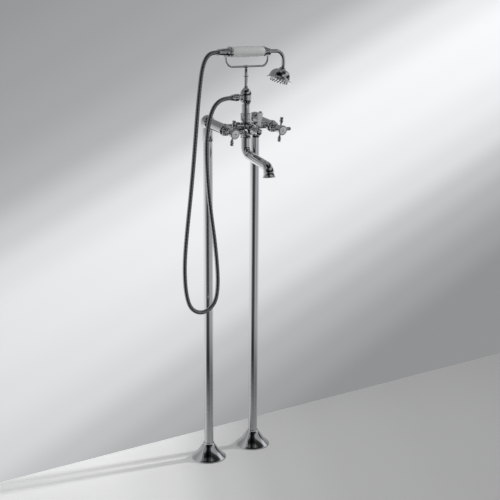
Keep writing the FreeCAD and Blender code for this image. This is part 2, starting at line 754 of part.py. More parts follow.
def valve_body(word, side):
    pillar, arm, cross = pillar_frame(side), arm_frame(side), cross_frame(side)
    axis_place = d.pillar_spacing / 2
    spigot_foot = pipe_top - d.spigot_length
    solid = fuse(
        f"valve_casting_{word}",
        ball(f"head_ball_{word}", d.ball_dia, arm),
        cylinder(f"neck_{word}", d.neck_dia, pipe_top, head_height, pillar),
        cylinder(f"spigot_{word}", pipe_bore - 2 * d.slip, spigot_foot, head_height, pillar),
        cylinder(f"barrel_{word}", d.barrel_dia, 0, barrel_end, arm),
        cylinder(f"stub_{word}", d.stub_dia, stub_end, axis_place, cross),
        cylinder(f"stub_end_{word}", d.stub_collar, stub_end, stub_end + d.stub_collar_length, cross),
    )
    hollow = cut(
        f"valve_body_{word}",
        solid,
        cylinder(f"rising_way_{word}", d.waterway_dia, spigot_foot - d.slip, head_height, pillar),
        ball(f"turning_way_{word}", d.waterway_dia, arm),
        cylinder(f"barrel_way_{word}", d.waterway_dia, 0, seat_start, arm),
        cylinder(f"seat_port_{word}", d.seat_port, seat_start - d.slip, seat_end, arm),
        cylinder(f"chamber_{word}", d.chamber_dia, seat_end, barrel_end + d.slip, arm),
        cylinder(f"cross_way_{word}", d.cross_port, stub_end - d.slip, axis_place, cross),
    )
    keep(f"valve_body_{word}", hollow)


# ---- Valve cartridge: a brass body, a fixed and a turning ceramic disc, and the spindle with its foot.

cavity_end = barrel_end - d.cavity_depth
cartridge_end = barrel_end + d.cartridge_length
spindle_end = barrel_end + d.spindle_length
fixed_disc_end = seat_end + d.disc_thick
turning_disc_end = fixed_disc_end + d.slip + d.disc_thick
foot_end = turning_disc_end + d.foot_thick


def cartridge(word, side):
    skirt = d.chamber_dia / 2 - d.slip
    outline = [
        (d.disc_cavity / 2, seat_end),
        (skirt, seat_end),
        (skirt, barrel_end),
        (d.cartridge_neck / 2, barrel_end),
        (d.cartridge_neck / 2, cartridge_end),
        (d.spindle_dia / 2 + d.slip, cartridge_end),
        (d.spindle_dia / 2 + d.slip, cavity_end),
        (d.disc_cavity / 2, cavity_end),
    ]
    body = turned(f"cartridge_{word}", outline, arm_frame(side))
    middle = (turning_disc_end + cavity_end) / 2
    window = [(0, middle, d.window_dia)]
    bored(body, f"windows_{word}", "YZ_Plane", window, both_ways=True)
    keep(f"cartridge_{word}", body)


def disc(name, start, side):
    outline = [
        (0, start),
        (d.disc_dia / 2, start),
        (d.disc_dia / 2, start + d.disc_thick),
        (0, start + d.disc_thick),
    ]
    body = turned(name, outline, arm_frame(side))
    bored(body, f"{name}_port", "XY_Plane", [(d.port_offset, 0, d.disc_port)], reverse=True)
    return body


def spindle(word, side):
    screw = d.handle_screw / 2
    outline = [
        (0, turning_disc_end),
        (d.disc_dia / 2 - d.air, turning_disc_end),
        (d.disc_dia / 2 - d.air, foot_end),
        (d.spindle_dia / 2, foot_end),
        (d.spindle_dia / 2, spindle_end),
        (screw, spindle_end),
        (screw, spindle_end - d.handle_screw_depth - d.air),
        (0, spindle_end - d.handle_screw_depth - d.air),
    ]
    keep(f"spindle_{word}", turned(f"spindle_{word}", outline, arm_frame(side)))


def handle_screw(word, side):
    shaft = d.handle_screw / 2 - d.slip
    head = d.handle_screw_head / 2
    outline = [
        (0, spindle_end - d.handle_screw_depth),
        (shaft, spindle_end - d.handle_screw_depth),
        (shaft, spindle_end),
        (head, spindle_end),
        (head, spindle_end + head / 2),
        (0, spindle_end + head / 2),
    ]
    keep(f"handle_screw_{word}", turned(f"handle_screw_{word}", outline, arm_frame(side)))


# ---- Bonnet: the stepped collar and neck that hides the cartridge between barrel and handle.

bonnet_end = barrel_end + d.bonnet_length


def valve_bonnet(word, side):
    bore = d.cartridge_neck / 2 + d.slip
    ring_start = barrel_end + d.bonnet_ring_place
    ring_end = ring_start + d.bonnet_ring_width
    outline = [
        (bore, barrel_end),
        (d.bonnet_flange / 2, barrel_end),
        (d.bonnet_flange / 2, barrel_end + d.bonnet_flange_thick),
        (d.bonnet_throat / 2, ring_start, -0.2),
        (d.bonnet_ring / 2, ring_start),
        (d.bonnet_ring / 2, ring_end, 0.3),
        (d.bonnet_nose / 2, ring_end),
        (d.bonnet_nose / 2, bonnet_end),
        (bore, bonnet_end),
    ]
    keep(f"valve_bonnet_{word}", turned(f"valve_bonnet_{word}", outline, arm_frame(side)))


# ---- Cross handle: hub and four club-shaped spokes, cast in one; bezel and ceramic disc in front.

hub_back = bonnet_end + 2 * d.air
hub_end = hub_back + d.hub_length


def cross_handle(word, side):
    name = f"cross_handle_{word}"
    bore = d.spindle_dia / 2 + d.slip
    outline = [
        (bore, hub_back),
        (d.hub_back_dia / 2, hub_back),
        (d.hub_dia / 2, hub_back + d.hub_taper, -0.12),
        (d.hub_dia / 2, hub_end),
        (d.screw_recess / 2, hub_end),
        (d.screw_recess / 2, spindle_end),
        (bore, spindle_end),
    ]
    body = turned(name, outline, arm_frame(side))
    root = d.screw_recess / 2 + d.edge
    spoke = [
        (root, 0),
        (d.spoke_tip, 0),
        (d.spoke_groove_place, d.spoke_groove / 2, 0.4),
        (d.spoke_swell_place, d.spoke_swell / 2, 0.2),
        (d.spoke_neck_end, d.spoke_neck / 2, -0.04),
        (root, d.spoke_neck / 2),
    ]
    sketch = draw_outline(body, f"spoke_{word}", "XZ_Plane", spoke, offset=hub_end - d.spoke_drop)
    one = revolve(body, sketch, "H_Axis")
    doc.recompute()
    four = body.newObject("PartDesign::PolarPattern", f"spokes_{word}")
    four.Originals = [one]
    four.Axis = ([f for f in body.Origin.OriginFeatures if f.Role == "Z_Axis"][0], [""])
    four.Angle = 360
    four.Occurrences = 4
    body.Tip = four
    keep(name, body)


def index_bezel(word, side):
    floor = hub_end + d.bezel_floor
    front = hub_end + d.bezel_depth
    inner = d.index_dia / 2 + d.slip
    outline = [
        (d.screw_recess / 2, hub_end),
        (d.bezel_dia / 2 - d.edge, hub_end),
        (d.bezel_dia / 2, hub_end + d.edge, 0.2),
        (d.bezel_dia / 2, front - d.edge),
        (inner, front, 0.2),
        (inner, floor),
        (d.screw_recess / 2, floor),
    ]
    keep(f"index_bezel_{word}", turned(f"index_bezel_{word}", outline, arm_frame(side)))


def index_disc(word, side):
    floor = hub_end + d.bezel_floor
    rim = floor + d.index_edge
    outline = [
        (0, floor),
        (d.index_dia / 2, floor),
        (d.index_dia / 2, rim),
        (d.edge / 2, rim + d.index_crown, 0.06),
        (0, rim + d.index_crown),
    ]
    keep(f"index_disc_{word}", turned(f"index_disc_{word}", outline, arm_frame(side)))


for word, side in SIDES.items():
    bell_cover(word, side)
    standpipe(word, side)
    pillar_sleeve(word, side)
    valve_body(word, side)
    cartridge(word, side)
    keep(f"turning_disc_{word}", disc(f"turning_disc_{word}", fixed_disc_end + d.slip, side))
    spindle(word, side)
    handle_screw(word, side)
    valve_bonnet(word, side)
    cross_handle(word, side)
    index_bezel(word, side)
    index_disc(word, side)

together("fixed_discs", *[disc(f"fixed_disc_{word}", seat_end, side) for word, side in SIDES.items()])

# ---- Mixer body: cast brass, chromed. The barrels meet in it, and it feeds spout and riser.

mixer_foot = d.mixer_height - d.mixer_drop


def mixer_body():
    solid = fuse(
        "mixer_casting",
        ball("mixer_ball", d.mixer_ball, diverter_frame),
        cylinder("lower_neck", d.mixer_socket_dia, mixer_foot, d.mixer_height, riser_frame),
        cylinder("upper_neck", d.mixer_neck_dia, d.mixer_height, mixer_top, riser_frame),
        cylinder("top_flange", d.mixer_flange, mixer_top - d.mixer_flange_thick, mixer_top, riser_frame),
        cylinder("riser_thread", d.riser_thread, d.mixer_height, thread_top, riser_frame),
        cylinder("diverter_barrel", d.diverter_boss, 0, d.diverter_boss_end, diverter_frame),
        *[
            cylinder(f"side_spigot_{word}", d.cross_thread, 0, d.cross_length, cross_frame(side))
            for word, side in SIDES.items()
        ],
    )
    socket_top = mixer_foot + d.spout_tail_length + d.air
    drum_bore = d.drum_dia + 2 * d.slip
    return cut(
        "mixer_body",
        solid,
        cylinder("spout_socket", d.spout_tail + 2 * d.slip, mixer_foot - d.air, socket_top, riser_frame),
        cylinder("riser_way", d.cross_port, socket_top - d.air, thread_top + d.air, riser_frame),
        cylinder("drum_bore", drum_bore, d.drum_start, d.diverter_boss_end + d.air, diverter_frame),
        *[
            cylinder(f"side_way_{word}", d.cross_port, 0, d.cross_length + d.air, cross_frame(side))
            for word, side in SIDES.items()
        ],
    )


keep("mixer_body", mixer_body())


def union_nut(word, side):
    collar_end = stub_end + d.stub_collar_length
    far = collar_end + d.union_lip
    near = far - d.union_length
    outline = [
        (d.cross_thread / 2 + d.slip, near),
        (d.union_dia / 2 - d.edge, near),
        (d.union_dia / 2, near + d.edge),
        (d.union_dia / 2, far - d.edge),
        (d.union_dia / 2 - d.edge, far),
        (d.stub_dia / 2 + d.slip, far),
        (d.stub_dia / 2 + d.slip, collar_end),
        (d.stub_collar / 2 + d.slip, collar_end),
        (d.stub_collar / 2 + d.slip, d.cross_length),
        (d.cross_thread / 2 + d.slip, d.cross_length),
    ]
    keep(f"union_nut_{word}", turned(f"union_nut_{word}", outline, cross_frame(side)))


def washer(name, bore, outside, start, frame):
    outline = [
        (bore / 2, start),
        (outside / 2, start),
        (outside / 2, start + d.washer_thick),
        (bore / 2, start + d.washer_thick),
    ]
    return turned(name, outline, frame)


for word, side in SIDES.items():
    union_nut(word, side)

# ---- Diverter: a bonnet on the middle barrel, the ported drum on its spindle, and the ceramic lever.

diverter_bonnet_end = d.diverter_boss_end + d.diverter_bonnet_length
drum_end = d.diverter_boss_end - d.drum_back
hub_start = diverter_bonnet_end + 2 * d.air
lever_hub_end = hub_start + d.lever_hub_length
shaft_end = lever_hub_end - d.lever_hub_wall
lever_axis = hub_start + d.lever_place
lever_top = d.lever_base + d.lever_length


def diverter_bonnet():
    bore = d.diverter_shaft / 2 + d.slip
    start = d.diverter_boss_end
    nose = diverter_bonnet_end - d.diverter_nose_length
    outline = [
        (bore, start),
        (d.diverter_bell / 2 - d.edge, start),
        (d.diverter_bell / 2, start + d.edge),
        (d.diverter_bell / 2, start + d.diverter_bell_thick),
        (d.diverter_nose / 2 + d.edge, nose, -0.14),
        (d.diverter_nose / 2, nose + 2 * d.edge),
        (d.diverter_nose / 2, diverter_bonnet_end),
        (bore, diverter_bonnet_end),
    ]
    return turned("diverter_bonnet", outline, diverter_frame)


keep("diverter_bonnet", diverter_bonnet())


def diverter_spindle():
    outline = [
        (0, d.drum_start + d.air),
        (d.drum_dia / 2, d.drum_start + d.air),
        (d.drum_dia / 2, drum_end),
        (d.diverter_shaft / 2, drum_end),
        (d.diverter_shaft / 2, shaft_end),
        (0, shaft_end),
    ]
    body = turned("diverter_spindle", outline, diverter_frame)
    middle = (d.drum_start + d.air + drum_end) / 2
    bored(body, "drum_port", "YZ_Plane", [(0, middle, d.drum_port)], both_ways=True)
    return body


keep("diverter_spindle", diverter_spindle())


def lever_hub():
    """The hub, and the collar and pin that carry the ceramic lever."""
    outline = [
        (d.diverter_shaft / 2 + d.slip, hub_start),
        (d.lever_hub_dia / 2 - 1.5 * d.edge, hub_start),
        (d.lever_hub_dia / 2, hub_start + d.lever_hub_wall, 0.1),
        (d.lever_hub_dia / 2, lever_hub_end - 3 * d.edge),
        (d.edge / 2, lever_hub_end, 0.12),
        (0, lever_hub_end),
        (0, shaft_end),
        (d.diverter_shaft / 2 + d.slip, shaft_end),
    ]
    body = turned("lever_hub", outline, diverter_frame)
    root = d.diverter_shaft / 2 + d.edge
    collar = d.lever_collar / 2
    neck = collar - 1.2 * d.edge
    pin_end = lever_top + d.lever_cap_height / 2
    stem = [
        (root, 0),
        (pin_end, 0),
        (pin_end, d.lever_pin / 2),
        (d.lever_base, d.lever_pin / 2),
        (d.lever_base, collar),
        (d.lever_base - 2 * d.edge, collar, 0.3),
        (d.lever_hub_dia / 2 + d.edge, neck, -0.15),
        (root, neck),
    ]
    sketch = draw_outline(body, "lever_stem", "YZ_Plane", stem, offset=lever_axis)
    revolve(body, sketch, "H_Axis")
    return body


lever_frame = Frame(
    (
        0,
        -d.reach - lever_axis * cosine(d.arm_tilt),
        d.mixer_height - lever_axis * sine(d.arm_tilt),
    ),
    ALONG_X,
    d.arm_tilt,
    (0, -sine(d.arm_tilt), cosine(d.arm_tilt)),
)


def ceramic_lever():
    bore = d.lever_pin / 2 + d.slip
    outline = [
        (bore, d.lever_base),
        (d.lever_foot_dia / 2, d.lever_base),
        (d.lever_head_dia / 2, lever_top - d.lever_crown, -0.02),
        (d.lever_cap_dia / 2, lever_top, 0.2),
        (bore, lever_top),
    ]
    return turned("ceramic_lever", outline, lever_frame)


def lever_cap():
    bore = d.lever_pin / 2 + d.slip
    middle = lever_top + d.lever_cap_height / 2
    outline = [
        (bore, lever_top),
        (d.lever_cap_dia / 2, lever_top),
        (d.lever_cap_dia / 2, middle),
        (d.edge / 2, lever_top + d.lever_cap_height, 0.15),
        (0, lever_top + d.lever_cap_height),
        (0, middle),
        (bore, middle),
    ]
    return turned("lever_cap", outline, lever_frame)


keep("lever_hub", lever_hub())
keep("ceramic_lever", ceramic_lever())
keep("lever_cap", lever_cap())

# ---- Spout: a bent brass tube with a spigot that turns in the mixer body, held by a nut.

tail_foot = mixer_foot - d.air
flange_foot = tail_foot - d.spout_flange_thick
knee_height = d.mixer_height - d.spout_knee
nut_foot = flange_foot - d.air - d.nut_lip


def in_spout_plane(forward, up):
    return Vector(0, -number(d.reach) - number(forward), number(up))


def spout_line(start_height):
    """The spout's middle line: down, forward at a slope, and down to the start of the mouth."""
    slope = math.radians(number(d.spout_slope))
    end_angle = math.radians(number(d.spout_end_angle))
    run = number(d.spout_run)
    knee = number(knee_height)
    last_corner = knee - run * math.tan(slope)
    end_bend = number(d.spout_end_bend)
    past = end_bend * math.tan((end_angle - slope) / 2) + number(d.edge)
    points = [
        in_spout_plane(0, start_height),
        in_spout_plane(0, knee),
        in_spout_plane(run, last_corner),
        in_spout_plane(run + past * math.cos(end_angle), last_corner - past * math.sin(end_angle)),
    ]
    return bent_wire(points, [number(d.spout_knee_bend), end_bend])


def swelling_tube(name, diameter, end_diameter):
    """The bent tube: even as far as the last bend, and swelling through it."""
    edges = spout_line(flange_foot).Edges
    even = rod_along(Part.Wire(edges[:3]), diameter)
    swelling = rod_along(Part.Wire(edges[3:]), diameter, end_diameter)
    return from_shape(name, even.fuse(swelling))


def band(name, inner, outer, start, end, frame):
    """A plain ring between two diameters."""
    outline = [(inner / 2, start), (outer / 2, start), (outer / 2, end), (inner / 2, end)]
    return turned(name, outline, frame)


line_end = spout_line(flange_foot).Edges[-1].Vertexes[-1].Point
mouth_turn = 90 + d.spout_end_angle
mouth_frame = Frame(
    (0, line_end.y, line_end.z),
    ALONG_X,
    mouth_turn,
    (0, -sine(mouth_turn), cosine(mouth_turn)),
)
end_bore = d.spout_end_dia - 2 * d.spout_wall
tail_top = tail_foot + d.spout_tail_length
seal_inner = d.spout_tail - 2 * d.seal_dia
seal_heights = [tail_foot + d.spout_tail_length * share for share in (0.35, 0.7)]


def spout():
    lip = d.mouth_dia / 2
    throat = lip - d.lip_stand
    lip_foot = d.mouth_length - d.lip_thick
    mouth_outline = [
        (end_bore / 2, 0),
        (d.spout_end_dia / 2, 0),
        (throat, lip_foot, -0.06),
        (lip, lip_foot + d.lip_thick / 2, 0.25),
        (throat, d.mouth_length, 0.25),
        (throat - d.spout_wall, d.mouth_length),
        (end_bore / 2, d.former_thick),
    ]
    wall = 2 * number(d.spout_wall)
    outside = fuse(
        "spout_outside",
        swelling_tube("spout_tube", number(d.spout_dia), number(d.spout_end_dia)),
        cylinder("spout_spigot", d.spout_tail, flange_foot, tail_top, riser_frame),
        cylinder("spout_flange", d.spout_flange, flange_foot, tail_foot, riser_frame),
    )
    hollow = cut(
        "spout_hollow",
        outside,
        swelling_tube("spout_way", number(d.spout_dia) - wall, number(d.spout_end_dia) - wall),
        cylinder("spout_tail_way", d.cross_port, flange_foot - d.air, tail_top + d.air, riser_frame),
        *[
            band(
                f"spout_groove_{place}",
                seal_inner,
                d.spout_tail + d.seal_dia,
                height - half_seal,
                height + half_seal,
                riser_frame,
            )
            for place, height in enumerate(seal_heights)
        ],
    )
    return fuse("spout", hollow, turned("spout_mouth", mouth_outline, mouth_frame))


keep("spout", spout())
together(
    "spout_seals",
    *[
        ring(f"spout_seal_{place}", d.seal_dia, seal_inner, height, riser_frame)
        for place, height in enumerate(seal_heights)
    ],
)


def spout_nut():
    top = nut_foot + d.spout_nut_length
    neck = d.mixer_socket_dia / 2 + d.slip
    bead = 1.5 * d.edge
    body = d.spout_nut / 2 - 0.8 * d.edge
    outline = [
        (d.spout_dia / 2 + d.air, nut_foot),
        (d.spout_nut / 2 - bead, nut_foot),
        (d.spout_nut / 2, nut_foot + bead, 0.2),
        (body, nut_foot + 2 * bead),
        (body, top),
        (neck, top),
        (neck, flange_foot - d.air),
        (d.spout_dia / 2 + d.air, flange_foot - d.air),
    ]
    return turned("spout_nut", outline, riser_frame)


def stream_former():
    outline = [
        (0, d.spout_wall),
        (end_bore / 2 - d.slip, d.spout_wall),
        (end_bore / 2 - d.slip, d.former_thick),
        (0, d.former_thick),
    ]
    body = turned("stream_former", outline, mouth_frame)
    apart = end_bore / 4
    holes = [(apart * across, apart * up, d.disc_port) for across, up in ((1, 0), (-1, 0), (0, 1), (0, -1))]
    bored(body, "former_holes", "XY_Plane", holes, reverse=True)
    return body


keep("spout_nut", spout_nut())
keep("stream_former", stream_former())

# ---- Riser: nut, cylinder and the pear-shaped bulb with the hose outlet.


def riser_nut():
    flange_top = thread_top + d.riser_flange_thick
    top = flange_top + d.riser_nut_lip
    thread = d.riser_thread / 2 + d.slip
    inside = d.riser_flange / 2 + d.slip
    outline = [
        (thread, mixer_top),
        (d.riser_nut_dia / 2 - d.edge, mixer_top),
        (d.riser_nut_dia / 2, mixer_top + d.edge),
        (d.riser_nut_dia / 2, top - d.edge),
        (d.riser_nut_dia / 2 - d.edge, top),
        (d.riser_base_dia / 2 + d.slip, top),
        (d.riser_base_dia / 2 + d.slip, flange_top),
        (inside, flange_top),
        (inside, thread_top),
        (thread, thread_top),
    ]
    return turned("riser_nut", outline, riser_frame)


def riser_base():
    bore = d.cross_port / 2
    outline = [
        (bore, thread_top),
        (d.riser_flange / 2, thread_top),
        (d.riser_flange / 2, thread_top + d.riser_flange_thick),
        (d.riser_base_dia / 2, thread_top + d.riser_flange_thick),
        (d.riser_base_dia / 2, base_top - d.edge),
        (d.riser_base_dia / 2 - d.edge, base_top),
        (bore, base_top),
    ]
    return turned("riser_base", outline, riser_frame)


def riser_bulb():
    spigot = base_top - d.pin_depth
    pin_foot = bulb_top - d.pin_depth
    pear = [
        (d.hose_bore / 2, spigot),
        (d.cross_port / 2 - d.slip, spigot),
        (d.cross_port / 2 - d.slip, base_top),
        (d.bulb_neck / 2, base_top),
        (d.bulb_dia / 2, base_top + d.bulb_widest, 0.12),
        (d.bulb_waist_dia / 2, base_top + d.bulb_waist, 0.12),
        (d.bulb_top_dia / 2, bulb_top, -0.12),
        (d.stem_pin / 2, bulb_top),
        (d.stem_pin / 2, pin_foot),
        (0, pin_foot),
        (0, outlet_height + d.hose_bore / 2),
        (d.hose_bore / 2, outlet_height + d.hose_bore / 2),
    ]
    casting = fuse(
        "bulb_casting",
        turned("bulb_pear", pear, riser_frame),
        cylinder("bulb_outlet", d.outlet_boss, d.bulb_neck / 2, d.outlet_boss_end, outlet_frame),
    )
    way = cylinder("outlet_way", d.hose_bore, 0, d.outlet_boss_end + d.air, outlet_frame)
    return cut("riser_bulb", casting, way)


keep("riser_nut", riser_nut())
keep("riser_base", riser_base())
keep("riser_bulb", riser_bulb())

# ---- Cradle: stem, fork and two half-round claws, one casting screwed into the bulb.


def claw(name, place, held):
    """The lower half of a ring under the handset, round the piece that lies in it."""
    inner = held / 2 + d.air
    outline = [
        (inner, place - d.claw_width / 2),
        (inner + d.claw_thick, place - d.claw_width / 2),
        (inner + d.claw_thick, place + d.claw_width / 2),
        (inner, place + d.claw_width / 2),
    ]
    body = turned(name, outline, handset_frame)
    half = body.Tip
    half.Angle = 180
    half.Midplane = True
    return body


def fork_rod():
    """The rod from claw to claw through the bar."""
    ends = []
    for place, held in ((rear_claw, d.tail_dia), (front_claw, d.ferrule_dia)):
        top = handset_height - held / 2 - d.air - d.claw_thick / 2
        ends.append((in_riser_plane(place, top), in_riser_plane(place, bar_height)))
    points = [ends[0][0], ends[0][1], ends[1][1], ends[1][0]]
    return from_shape("fork_rod", rod_along(bent_wire(points, [number(d.fork_bend)] * 2), number(d.fork_dia)))


def cradle():
    stem_foot = bulb_top
    collar = stem_foot + d.stem_collar_height
    pin = d.stem_pin / 2 - d.slip
    stem = [
        (0, stem_foot - d.pin_depth + d.air),
        (pin, stem_foot - d.pin_depth + d.air),
        (pin, stem_foot),
        (d.stem_dia / 2, stem_foot),
        (d.stem_dia / 2, collar),
        (d.stem_collar_dia / 2, collar),
        (d.stem_collar_dia / 2, collar + d.stem_collar_thick, 0.3),
        (d.stem_dia / 2, collar + d.stem_collar_thick),
        (d.stem_dia / 2, bar_height - d.stem_flare),
        (d.stem_flare_dia / 2, bar_height, -0.15),
        (0, bar_height),
    ]
    bar_frame = Frame((0, -d.reach, bar_height), ALONG_Y, 90.0, (1, 0, 0))
    swelling = [
        (0, -d.fork_swell),
        (d.fork_dia / 2, -d.fork_swell),
        (d.fork_middle / 2, 0, -0.03),
        (d.fork_dia / 2, d.fork_swell, -0.03),
        (0, d.fork_swell),
    ]
    return fuse(
        "cradle",
        turned("cradle_stem", stem, riser_frame),
        turned("fork_middle", swelling, bar_frame),
        fork_rod(),
        claw("rear_claw", rear_claw, d.tail_dia),
        claw("front_claw", front_claw, d.ferrule_dia),
    )


keep("cradle", cradle())

# ---- Hose union and hose nuts.

union_shoulder = d.outlet_boss_end + d.union_collar_length
union_thread_end = union_shoulder + d.hose_thread_length
lower_nut_start = union_shoulder + d.edge
lower_nut_end = lower_nut_start + d.lower_nut_length


def hose_union():
    hexagon = doc.addObject("Part::Prism", "union_hexagon")
    hexagon.Polygon = 6
    bind(hexagon, "Circumradius", d.union_collar / 2)
    bind(hexagon, "Height", d.union_collar_length)
    outlet_frame.put(hexagon, d.outlet_boss_end)
    thread = cylinder("union_thread", d.hose_thread, d.outlet_boss_end, union_thread_end, outlet_frame)
    way_start, way_end = d.outlet_boss_end - d.air, union_thread_end + d.air
    way = cylinder("union_way", d.hose_bore, way_start, way_end, outlet_frame)
    return cut("hose_union", fuse("union_solid", hexagon, thread), way)


def lower_hose_nut():
    thread = d.hose_thread / 2 + d.slip
    start = lower_nut_start
    ring_end = start + d.hose_nut_ring_length
    seat = union_thread_end + d.washer_thick
    outline = [
        (thread, start),
        (d.hose_nut_ring / 2 - d.edge, start),
        (d.hose_nut_ring / 2, start + d.edge),
        (d.hose_nut_ring / 2, ring_end - d.edge),
        (d.hose_nut_ring / 2 - d.edge, ring_end),
        (d.hose_nut_end / 2, lower_nut_end, 0.03),
        (d.hose_bore / 2, lower_nut_end),
        (d.hose_bore / 2, seat),
        (thread, seat),
    ]
    return turned("hose_nut_lower", outline, outlet_frame)


keep("hose_union", hose_union())
keep("hose_nut_lower", lower_hose_nut())
together(
    "joint_washers",
    washer("hose_washer", d.hose_bore, d.hose_thread, union_thread_end, outlet_frame),
    *[
        washer(f"union_washer_{word}", d.cross_port, d.cross_thread, d.cross_length, cross_frame(side))
        for word, side in SIDES.items()
    ],
)

# ---- Handset: rear ring, ceramic grip on its core tube, front ring, bent neck and rose.

ferrule_end = ferrule_start + d.ferrule_length
dome_end = d.dome_start + d.dome_rise
rose_collar_end = dome_end + d.rose_collar_height
core_start = tail_start + d.edge
core_end = grip_end + d.core_stand
thread_start = tail_start - d.hose_thread_length


def upper_hose_nut():
    thread = d.hose_thread / 2 + d.slip
    outline = [
        (d.hose_bore / 2, upper_nut_end),
        (d.hose_nut_end / 2 + d.edge, upper_nut_end),
        (d.hose_nut_end / 2 + d.edge, upper_nut_end + 4 * d.edge),
        (d.hose_nut_end / 2, upper_nut_end + 5 * d.edge),
        (d.tail_dia / 2 - 0.4 * d.edge, tail_start, 0.03),
        (thread, tail_start),
        (thread, thread_start),
        (d.hose_bore / 2, thread_start),
    ]
    return turned("hose_nut_upper", outline, handset_frame)


def rear_ring():
    core = d.core_dia / 2 + d.slip
    rim = d.rear_ring_dia / 2
    outline = [
        (d.hose_bore / 2, thread_start),
        (d.hose_thread / 2, thread_start),
        (d.hose_thread / 2, tail_start),
        (d.tail_dia / 2, tail_start),
        (d.tail_dia / 2, rear_ring_start),
        (rim - 1.5 * d.edge, rear_ring_start + 2 * d.edge, -0.2),
        (rim, rear_ring_start + 4 * d.edge, 0.2),
        (rim - 1.5 * d.edge, rear_ring_start + 6 * d.edge, 0.2),
        (d.grip_end_dia / 2 - d.edge, d.grip_start, -0.15),
        (core, d.grip_start),
        (core, core_start),
        (d.hose_bore / 2, core_start),
    ]
    return turned("grip_ring_rear", outline, handset_frame)


def grip_tube():
    return band("grip_tube", d.core_dia - 2 * d.core_wall, d.core_dia, core_start, core_end, handset_frame)


def ceramic_grip():
    bore = d.grip_end_dia / 2 - d.grip_wall
    outline = [
        (bore, d.grip_start),
        (d.grip_end_dia / 2, d.grip_start),
        (d.grip_end_dia / 2, grip_end, d.grip_bow.value),
        (bore, grip_end),
    ]
    return turned("ceramic_grip", outline, handset_frame)


def front_ring():
    core = d.core_dia / 2 + d.slip
    neck = d.neck_tube / 2 + d.slip
    rim = d.front_ring_dia / 2
    outline = [
        (core, grip_end),
        (rim, grip_end),
        (rim, grip_end + d.front_ring_width, 0.2),
        (d.ferrule_dia / 2, ferrule_start, -0.18),
        (d.ferrule_dia / 2, ferrule_end),
        (neck + d.edge, ferrule_end + 2 * d.edge, 0.15),
        (neck, ferrule_end + 2 * d.edge),
        (neck, core_end),
        (core, core_end),
    ]
    return turned("grip_ring_front", outline, handset_frame)


def handset_neck():
    up = rose_collar_end - d.neck_seat - d.rose_depth
    points = [
        in_riser_plane(core_end, handset_height),
        in_riser_plane(neck_bend_at, handset_height),
        in_riser_plane(*rose_corner),
        in_riser_plane(
            rose_corner[0] + up * sine(d.rose_tilt),
            rose_corner[1] + up * cosine(d.rose_tilt),
        ),
    ]
    line = bent_wire(points, [number(d.neck_bend), number(d.rose_corner_bend)])
    bore = number(d.neck_tube) - 2 * number(d.neck_tube_wall)
    return from_shape("handset_neck", rod_along(line, number(d.neck_tube)).cut(rod_along(line, bore)))


def rose_body():
    neck = d.neck_tube / 2 + d.slip
    plate = d.plate_dia / 2 + d.slip
    dome = d.dome_dia / 2
    inside = dome - d.rose_wall
    outline = [
        (plate, 0),
        (d.rose_dia / 2, 0),
        (d.rose_dia / 2, d.rose_rim),
        (dome, d.dome_start, -0.15),
        (d.rose_collar / 2, dome_end, 0.2),
        (d.rose_collar / 2, rose_collar_end),
        (neck, rose_collar_end),
        (neck, dome_end - d.rose_wall),
        (inside, d.dome_start, -0.2),
        (inside, d.plate_thick + d.air),
        (plate, d.plate_thick + d.air),
    ]
    return turned("rose_body", outline, rose_frame)


def rose_plate():
    outline = [
        (0, -d.edge),
        (d.plate_dia / 2 - 4 * d.edge, -d.edge),
        (d.plate_dia / 2, d.air),
        (d.plate_dia / 2, d.plate_thick + d.air),
        (0, d.plate_thick + d.air),
    ]
    return turned("rose_plate", outline, rose_frame)


keep("hose_nut_upper", upper_hose_nut())
keep("grip_ring_rear", rear_ring())
keep("grip_tube", grip_tube())
keep("ceramic_grip", ceramic_grip())
keep("grip_ring_front", front_ring())
keep("handset_neck", handset_neck())
keep("rose_body", rose_body())
keep("rose_plate", rose_plate())

# ---- Shower hose: metal, hanging in one loop from the handset to the riser's outlet.


def shower_hose():
    route = [
        (upper_nut_end, handset_height),
        (HOSE_ROUTE[0][0], handset_height),
        *HOSE_ROUTE[1:-1],
        (HOSE_ROUTE[-1][0], outlet_height),
        (-lower_nut_end, outlet_height),
    ]
    points = [in_riser_plane(*point) for point in route]
    radii = []
    for before, corner, after in zip(points, points[1:], points[2:]):
        shorter = min((corner - before).Length, (after - corner).Length)
        turn = (corner - before).getAngle(after - corner)
        radii.append(0.45 * shorter / math.tan(turn / 2))
    line = bent_wire(points, radii)
    hose = rod_along(line, number(d.hose_dia))
    section = math.pi * number(d.hose_dia) ** 2 / 4
    print("hose radii, mm:", " ".join(f"{radius:.0f}" for radius in radii))
    share = hose.Volume / section / line.Length
    print(f"hose length, mm: {line.Length:.0f}, volume over section times length: {share:.4f}")
    return from_shape("shower_hose", hose)


keep("shower_hose", shower_hose())

# ---- Checks of the document, and one file for each sub-part.

doc.recompute()
for owner in doc.Objects:
    if "Invalid" in owner.State or "Error" in owner.State:
        raise RuntimeError(f"{owner.Name} didn't compute: {owner.State}")
for name, owner in subparts.items():
    if owner.Shape.isNull() or not owner.Shape.isValid():
        raise RuntimeError(f"{name} has no valid shape")

os.makedirs("parts", exist_ok=True)
for name, owner in subparts.items():
    owner.Shape.exportStep(f"parts/{name}.step")
print(len(subparts), "sub-parts,", sum(len(owner.Shape.Solids) for owner in subparts.values()), "solids")
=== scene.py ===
"""The looks of a floor standing bath filler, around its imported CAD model.

Metres, in the CAD frame.
"""

import math

import bmesh
import bpy
import numpy as np
from mathutils import Matrix, Vector


